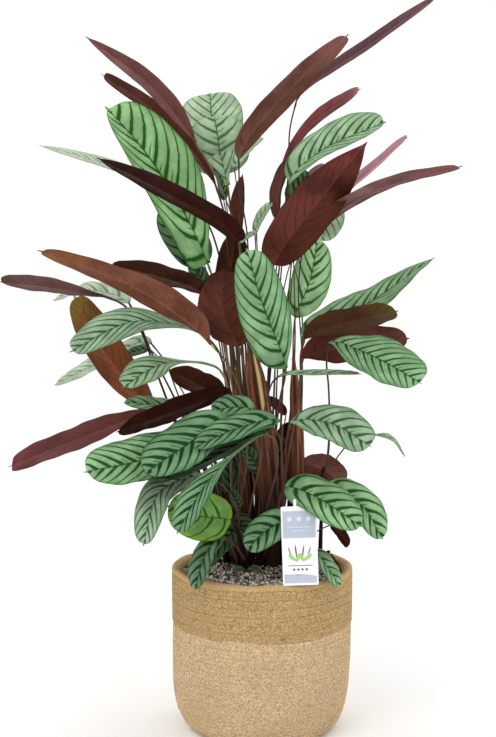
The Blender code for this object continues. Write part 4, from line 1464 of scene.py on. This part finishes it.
def add_grains(mesh, spots, sizes, rng):
    """Knocked-about twenty-sided grains at these spots."""
    solid = bmesh.new()
    bmesh.ops.create_icosphere(solid, subdivisions=1, radius=0.5)
    corners = np.array([vertex.co for vertex in solid.verts])
    faces = np.array([[vertex.index for vertex in face.verts] for face in solid.faces])
    solid.free()
    for spot, size in zip(spots, sizes):
        turn, _ = np.linalg.qr(rng.normal(size=(3, 3)))
        turn[:, 0] *= np.sign(np.linalg.det(turn))
        squash = rng.uniform(0.6, 1.15, 3)
        shape = corners * (1 + rng.uniform(-0.16, 0.16, (len(corners), 1))) * squash * size
        mesh.add(shape @ turn.T + spot, faces, 0, tint=rng.uniform())


def scattered(name, count, size, reach, seed, finish):
    """Grains strewn over the ground inside this radius."""
    rng = np.random.default_rng(seed)
    radius = reach * np.sqrt(rng.uniform(0, 1, count))
    angle = rng.uniform(0, 2 * math.pi, count)
    sizes = size * rng.uniform(0.55, 1.4, count)
    x, y = radius * np.cos(angle), radius * np.sin(angle)
    spots = np.column_stack([x, y, ground(x, y) + 0.20 * sizes - 0.0004])
    mesh = Mesh()
    add_grains(mesh, spots, sizes, rng)
    return mesh.build(name, [finish], smooth=False)


def soil_heap(name, center, spread, height, count, size, seed, finish):
    """A heap of loose soil crumbs."""
    rng = np.random.default_rng(seed)
    away = rng.normal(size=(count, 2)) * spread * 0.5
    x, y = center[0] + away[:, 0], center[1] + away[:, 1]
    pile = height * np.exp(-((away / spread) ** 2).sum(axis=1) * 2) * rng.uniform(0, 1, count)
    sizes = size * rng.uniform(0.5, 1.5, count)
    mesh = Mesh()
    add_grains(mesh, np.column_stack([x, y, ground(x, y) + pile + 0.3 * sizes]), sizes, rng)
    return mesh.build(name, [finish], smooth=False)


# Tag


CARD_THICK = 0.0006
TONGUE_THICK = 0.0005
PRINT_THICK = 0.0001
PRINT_LIFT = 0.00012  # of the print's face off the card
INK_LIFT = 0.00004  # more for each further ink
CARD_BOW = 0.0012  # how far the card's middle bows to the front
PANEL_AT = 0.078  # heights over the card's foot, to the middle of each mark
RINGS_AT = 0.085
GRASS_AT = 0.044
LEAVES_AT = 0.036
DOTS_AT = 0.0205


class Card(NamedTuple):
    """The front of the tag's solid: its lower middle, its directions and its size."""

    foot: np.ndarray
    across: np.ndarray
    up: np.ndarray
    out: np.ndarray
    width: float
    height: float


def tag_side(data):
    """The ends of the tag's longest sharp edge, the lower one first."""
    shape = bmesh.new()
    shape.from_mesh(data)
    bmesh.ops.remove_doubles(shape, verts=shape.verts, dist=WELD)
    sharp = [edge for edge in shape.edges if edge.is_manifold and edge.calc_face_angle() > 0.5]
    side = max(sharp, key=lambda edge: edge.calc_length())
    ends = sorted((np.array(vertex.co) for vertex in side.verts), key=lambda point: point[2])
    shape.free()
    return ends


def tag_front():
    """Reads the tag's front face off its solid."""
    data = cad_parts["plant_label"].data
    front = max(data.polygons, key=lambda face: -face.normal.y * face.area)
    out = np.array(front.normal)
    low, high = tag_side(data)
    up = unit(high - low)
    across = np.cross(up, out)
    corners = np.array([vertex.co for vertex in data.vertices])
    reach = corners @ across
    middle = (reach.min() + reach.max()) / 2
    foot = across * middle + up * (corners @ up).min() + out * (corners @ out).max()
    return Card(foot, across, up, out, np.ptp(reach), np.linalg.norm(high - low))


def flat_sheet(outline):
    """The points and triangles inside an outline, and the edges of its rim."""
    shape = bmesh.new()
    face = shape.faces.new([shape.verts.new((x, y, 0)) for x, y in outline])
    if face.normal.z < 0:
        face.normal_flip()
    bmesh.ops.triangulate(shape, faces=[face], ngon_method="EAR_CLIP")
    long_edges = [edge for edge in shape.edges if edge.calc_length() > 0.012]
    bmesh.ops.subdivide_edges(shape, edges=long_edges, cuts=3)
    bmesh.ops.triangulate(shape, faces=shape.faces[:])
    shape.verts.index_update()
    flat = np.array([vertex.co for vertex in shape.verts])
    faces = np.array([[vertex.index for vertex in face.verts] for face in shape.faces])
    rims = [[vertex.index for vertex in edge.verts] for edge in shape.edges if edge.is_boundary]
    shape.free()
    return flat, faces, rims


def add_plate(mesh, card, outline, thickness, lift, finish):
    """A flat shape on the card, bent with it, from its outline in the card's own plane."""
    flat, faces, rims = flat_sheet(outline)
    bow = CARD_BOW * np.sin(math.pi * np.clip(flat[:, 1] / card.height, 0, 1)) - CARD_BOW
    base = card.foot + flat[:, :1] * card.across + flat[:, 1:2] * card.up + bow[:, None] * card.out
    front = base + card.out * lift
    back = base + card.out * (lift - thickness)
    count = len(flat)
    mesh.add(np.concatenate([front, back]), np.concatenate([faces, faces[:, ::-1] + count]), finish)
    walls = np.array([(a, b, b + count, a + count) for a, b in rims])
    mesh.add(np.zeros((0, 3)), walls - 2 * count, finish)


def card_outline(card):
    """The card with its round corners."""
    half, top, corner = card.width / 2, card.height, 0.0018
    outline = []
    for x, y, start in ((half, 0, -90), (half, top, 0), (-half, top, 90), (-half, 0, 180)):
        middle = (x - math.copysign(corner, x), y + (corner if y == 0 else -corner))
        for step in range(5):
            angle = math.radians(start + 22.5 * step)
            outline.append((middle[0] + corner * math.cos(angle), middle[1] + corner * math.sin(angle)))
    return outline


def tongue_outline(card):
    """The narrow tongue that the card hangs by."""
    middle, low, top = -0.1 * card.width, card.height - 0.0004, card.height + 0.0095
    return [
        (middle - 0.0020, low),
        (middle + 0.0020, low),
        (middle + 0.0016, top - 0.0010),
        (middle, top),
        (middle - 0.0016, top - 0.0010),
    ]


def disc(x, y, radius, stretch=1.0, turn=0.0, sides=20):
    """Outline of a disc, or of an oval turned by an angle."""
    points = []
    for k in range(sides):
        angle = 2 * math.pi * k / sides
        a, b = radius * math.cos(angle), stretch * radius * math.sin(angle)
        right = a * math.cos(turn) - b * math.sin(turn)
        up = a * math.sin(turn) + b * math.cos(turn)
        points.append((x + right, y + up))
    return points


def block(x, y, width, height):
    """Outline of a rectangle from its middle."""
    return [
        (x - width / 2, y - height / 2),
        (x + width / 2, y - height / 2),
        (x + width / 2, y + height / 2),
        (x - width / 2, y + height / 2),
    ]


def wave_band(width, low, high, swell):
    """Outline of a band with a wavy upper edge."""
    xs = np.linspace(-width / 2, width / 2, 25)
    upper = [(x, high + swell * math.sin(3.2 * math.pi * x / width + 0.6)) for x in xs[::-1]]
    return [(xs[0], low), (xs[-1], low), *upper]


def tag_marks(inner):
    """Finish numbers and outlines: rings and rules on the panel, grass, leaves and dots below."""
    marks = [(2, disc(x, RINGS_AT, 0.0031)) for x in (-0.012, 0.0, 0.012)]
    marks += [(1, disc(x, RINGS_AT, 0.0020)) for x in (-0.012, 0.0, 0.012)]
    marks += [(2, block(0, 0.0745, 0.028, 0.0010)), (2, block(0, 0.0700, 0.018, 0.0010))]
    grass = ((-0.013, 108, 0.0060), (-0.005, 96, 0.0085), (0.004, 82, 0.0075), (0.012, 70, 0.0055))
    for x, lean, long in grass:
        marks.append((3, disc(x, GRASS_AT, long, 0.10, math.radians(lean), 12)))
    for x, lean in ((-0.010, 140), (-0.002, 60), (0.002, 120), (0.010, 40)):
        marks.append((4, disc(x, LEAVES_AT, 0.0062, 0.34, math.radians(lean), 20)))
    marks += [(3, block(0, 0.0255, inner - 0.010, 0.0007))]
    marks += [(3, disc(x, DOTS_AT, 0.0014)) for x in (-0.008, -0.0027, 0.0027, 0.008)]
    return marks


def printed_tag(settings):
    """The card and its print: a panel on top, crossed leaves, dots and a wavy foot."""
    card = tag_front()
    mesh = Mesh()
    add_plate(mesh, card, card_outline(card), CARD_THICK, 0.0, 0)
    add_plate(mesh, card, tongue_outline(card), TONGUE_THICK, 0.0, 0)
    inner = card.width - 0.004
    for outline in (block(0, PANEL_AT, inner, 0.034), wave_band(inner, 0.003, 0.0125, 0.0018)):
        add_plate(mesh, card, outline, PRINT_THICK, PRINT_LIFT, 1)
    for finish, outline in tag_marks(inner):
        add_plate(mesh, card, outline, PRINT_THICK, 2 * PRINT_LIFT + INK_LIFT * finish, finish)
    colors = {
        "tag_card": settings.card_color,
        "tag_panel": settings.panel_color,
        "tag_lines": settings.line_color,
        "tag_ink": settings.ink_color,
        "tag_green": settings.leaf_color,
    }
    finishes = [printed_card(name, color) for name, color in colors.items()]
    return mesh.build("hang_tag", finishes, smooth=False)


# Operators


class CALATHEA_OT_weave_basket(bpy.types.Operator):
    """Weaves the basket: rows of jute braid round the base, the wall and the rolled rim"""

    bl_idname = "calathea.weave_basket"
    bl_label = "Weave Basket"

    def execute(self, context):
        made = woven_basket(context.scene.calathea_basket)
        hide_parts("basket")
        return {"FINISHED"}


class CALATHEA_OT_fill_basket(bpy.types.Operator):
    """Fills the basket: liner, soil with loose crumbs, and gravel"""

    bl_idname = "calathea.fill_basket"
    bl_label = "Fill Basket"

    def execute(self, context):
        settings = context.scene.calathea_gravel
        soil = tuple(settings.soil_color)
        dress("liner", moulded_plastic("liner_plastic"))
        dress("potting_soil", damp_soil("damp_soil", soil))
        dress("gravel_topdressing", damp_soil("gravel_bed", (0.11, 0.09, 0.07)))
        low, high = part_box("gravel_topdressing")
        reach = (high.x - low.x) / 2 - settings.grain / 2
        stones = stone("gravel_stone", settings)
        gravel = scattered("gravel_grains", settings.grains, settings.grain, reach, 11, stones)
        crumb = damp_soil("soil_crumb", soil)
        loose = scattered("soil_crumbs", settings.crumbs, settings.grain, CRUMB_REACH, 12, crumb)
        for number, form in enumerate(SOIL_HEAPS, 1):
            heap = soil_heap(f"soil_heap_{number}", *form, settings.grain, 12 + number, crumb)
        return {"FINISHED"}


class CALATHEA_OT_hang_tag(bpy.types.Operator):
    """Hangs the card tag over the front rim, with plain printed shapes"""

    bl_idname = "calathea.hang_tag"
    bl_label = "Hang Tag"

    def execute(self, context):
        made = printed_tag(context.scene.calathea_tag)
        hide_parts("plant_label")
        return {"FINISHED"}


class CALATHEA_OT_sheathe_canes(bpy.types.Operator):
    """Sheathes the canes in streaked bark-brown leaf bases"""

    bl_idname = "calathea.sheathe_canes"
    bl_label = "Sheathe Canes"

    def execute(self, context):
        for node, form in CANES.items():
            mesh = Mesh()
            add_cane(mesh, node, form, context.scene.calathea_stalk, 0)
            bark = streaked_stalk(f"{node}_bark", STALK_TONES[form.tone])
            made = mesh.build(f"sheathed_{node}", [bark])
            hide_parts(node)
        return {"FINISHED"}


class Finishes(NamedTuple):
    """The finishes that all leaves share, by tone."""

    tops: dict
    unders: dict
    stalks: dict


def leaf_finishes():
    """Makes the finishes once, and finds them again the next time."""
    made = []
    for part, maker, tones in (
        ("top", veined_top, TOP_TONES),
        ("under", wine_underside, UNDER_TONES),
        ("stalk", streaked_stalk, STALK_TONES),
    ):
        named = {tone: f"leaf_{part}_{tone}" for tone in tones}
        made.append({
            tone: bpy.data.materials.get(name) or maker(name, tones[tone])
            for tone, name in named.items()
        })
    return Finishes(*made)


def grown_leaf(name, shape, form, look, rng, scene):
    """One leaf: its blade and its stalk, in its own tones."""
    finishes = leaf_finishes()
    mesh = Mesh()
    add_blade(mesh, shape, form, rng, scene.calathea_leaf)
    add_stalk(mesh, shape, form, look.stout, rng, scene.calathea_stalk, 2)
    tones = [finishes.tops[look.top], finishes.unders[look.under], finishes.stalks[look.stalk]]
    return mesh.build(name, tones)


class CALATHEA_OT_grow_leaves(bpy.types.Operator):
    """Grows the leaves: striped blades with wine undersides on their petioles"""

    bl_idname = "calathea.grow_leaves"
    bl_label = "Grow Leaves"

    def execute(self, context):
        for node in sorted(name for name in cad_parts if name.startswith("leaf_")):
            number = int(node[-2:])
            form = FORMS.get(number, LeafForm())
            look = LOOKS.get(number, Look())
            rng = np.random.default_rng(number)
            made = grown_leaf(f"calathea_{node}", leaf_shape(node), form, look, rng, context.scene)
            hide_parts(node)
        return {"FINISHED"}


class CALATHEA_OT_grow_small_leaves(bpy.types.Operator):
    """Grows the small leaves that fill the gaps between the stems"""

    bl_idname = "calathea.grow_small_leaves"
    bl_label = "Grow Small Leaves"

    def execute(self, context):
        form = LeafForm(tip=0.34, base=0.5, ripple=0.6)
        for number, row in enumerate(SMALL_LEAVES, 1):
            leaf = SmallLeaf(*row)
            rng = np.random.default_rng(100 + number)
            name = f"small_leaf_{number:02d}"
            made = grown_leaf(name, small_leaf_shape(leaf), form, leaf.look, rng, context.scene)
        return {"FINISHED"}


def lay_floor(color):
    """The pale floor under the part."""
    corners = [(x * FLOOR_HALF, y * FLOOR_HALF, 0) for x, y in ((-1, -1), (1, -1), (1, 1), (-1, 1))]
    data = bpy.data.meshes.new("studio_floor")
    data.from_pydata(corners, [], [(0, 1, 2, 3)])
    data.materials.append(studio_floor("studio_floor", color))
    floor = bpy.data.objects.new("studio_floor", data)
    floor.location.z = CAD_BOX[0].z
    bpy.context.scene.collection.objects.link(floor)


def white_room(strength):
    """An even white light from all around."""
    world = bpy.data.worlds.new("white_room")
    world.use_nodes = True
    background = world.node_tree.nodes["Background"]
    background.inputs["Color"].default_value = (1.0, 1.0, 1.0, 1.0)
    background.inputs["Strength"].default_value = strength
    bpy.context.scene.world = world


def softbox(name, place, goal, size, power):
    """A square area light that faces the goal."""
    light = bpy.data.lights.new(name, "AREA")
    light.size = size
    light.energy = power
    lamp = bpy.data.objects.new(name, light)
    lamp.location = place
    lamp.rotation_euler = (goal - lamp.location).to_track_quat("-Z", "Y").to_euler()
    bpy.context.scene.collection.objects.link(lamp)


def portrait_camera(settings):
    """The camera, a little above the plant's middle and tilted down."""
    camera = bpy.data.cameras.new("portrait_camera")
    camera.lens = settings.lens
    viewer = bpy.data.objects.new("portrait_camera", camera)
    viewer.location = (-settings.aside, -settings.distance, settings.height)
    viewer.rotation_euler = (math.pi / 2 - settings.tilt, 0, 0)
    bpy.context.scene.collection.objects.link(viewer)
    bpy.context.scene.camera = viewer


class CALATHEA_OT_set_stage(bpy.types.Operator):
    """Sets the stage: pale floor, white room, two softboxes and the camera"""

    bl_idname = "calathea.set_stage"
    bl_label = "Set Stage"

    def execute(self, context):
        settings = context.scene.calathea_stage
        context.scene.view_settings.view_transform = "Standard"
        lay_floor(settings.floor_color)
        white_room(settings.daylight)
        middle = (CAD_BOX[0] + CAD_BOX[1]) / 2
        softbox("key_softbox", (-1.2, -2.0, 2.2), middle, 1.6, settings.key_light)
        softbox("rim_softbox", (1.6, 1.4, 1.9), middle, 1.4, settings.rim_light)
        portrait_camera(settings)
        return {"FINISHED"}


OPERATORS = (
    CALATHEA_OT_set_stage,
    CALATHEA_OT_weave_basket,
    CALATHEA_OT_fill_basket,
    CALATHEA_OT_hang_tag,
    CALATHEA_OT_sheathe_canes,
    CALATHEA_OT_grow_leaves,
    CALATHEA_OT_grow_small_leaves,
)


class CALATHEA_PT_panel(bpy.types.Panel):
    """Lists the steps and their settings in the sidebar"""

    bl_idname = "CALATHEA_PT_panel"
    bl_label = "Calathea in Basket"
    bl_space_type = "VIEW_3D"
    bl_region_type = "UI"
    bl_category = "Calathea"

    def draw(self, context):
        for operator in OPERATORS:
            self.layout.operator(operator.bl_idname)
        for name, group in GROUPS.items():
            box = self.layout.box()
            for prop in group.__annotations__:
                box.prop(getattr(context.scene, name), prop)


def register():
    """Registers the settings, the operators and the panel."""
    for name, group in GROUPS.items():
        bpy.utils.register_class(group)
        setattr(bpy.types.Scene, name, PointerProperty(type=group))
    for made in (*OPERATORS, CALATHEA_PT_panel):
        bpy.utils.register_class(made)


def unregister():
    """Takes back what register added."""
    for made in (CALATHEA_PT_panel, *OPERATORS[::-1]):
        bpy.utils.unregister_class(made)
    for name, group in GROUPS.items():
        delattr(bpy.types.Scene, name)
        bpy.utils.unregister_class(group)


def main():
    """Builds every piece in order."""
    register()
    for operator in OPERATORS:
        group, name = operator.bl_idname.split(".")
        getattr(getattr(bpy.ops, group), name)()
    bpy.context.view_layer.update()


if __name__ == "__main__":
    main()
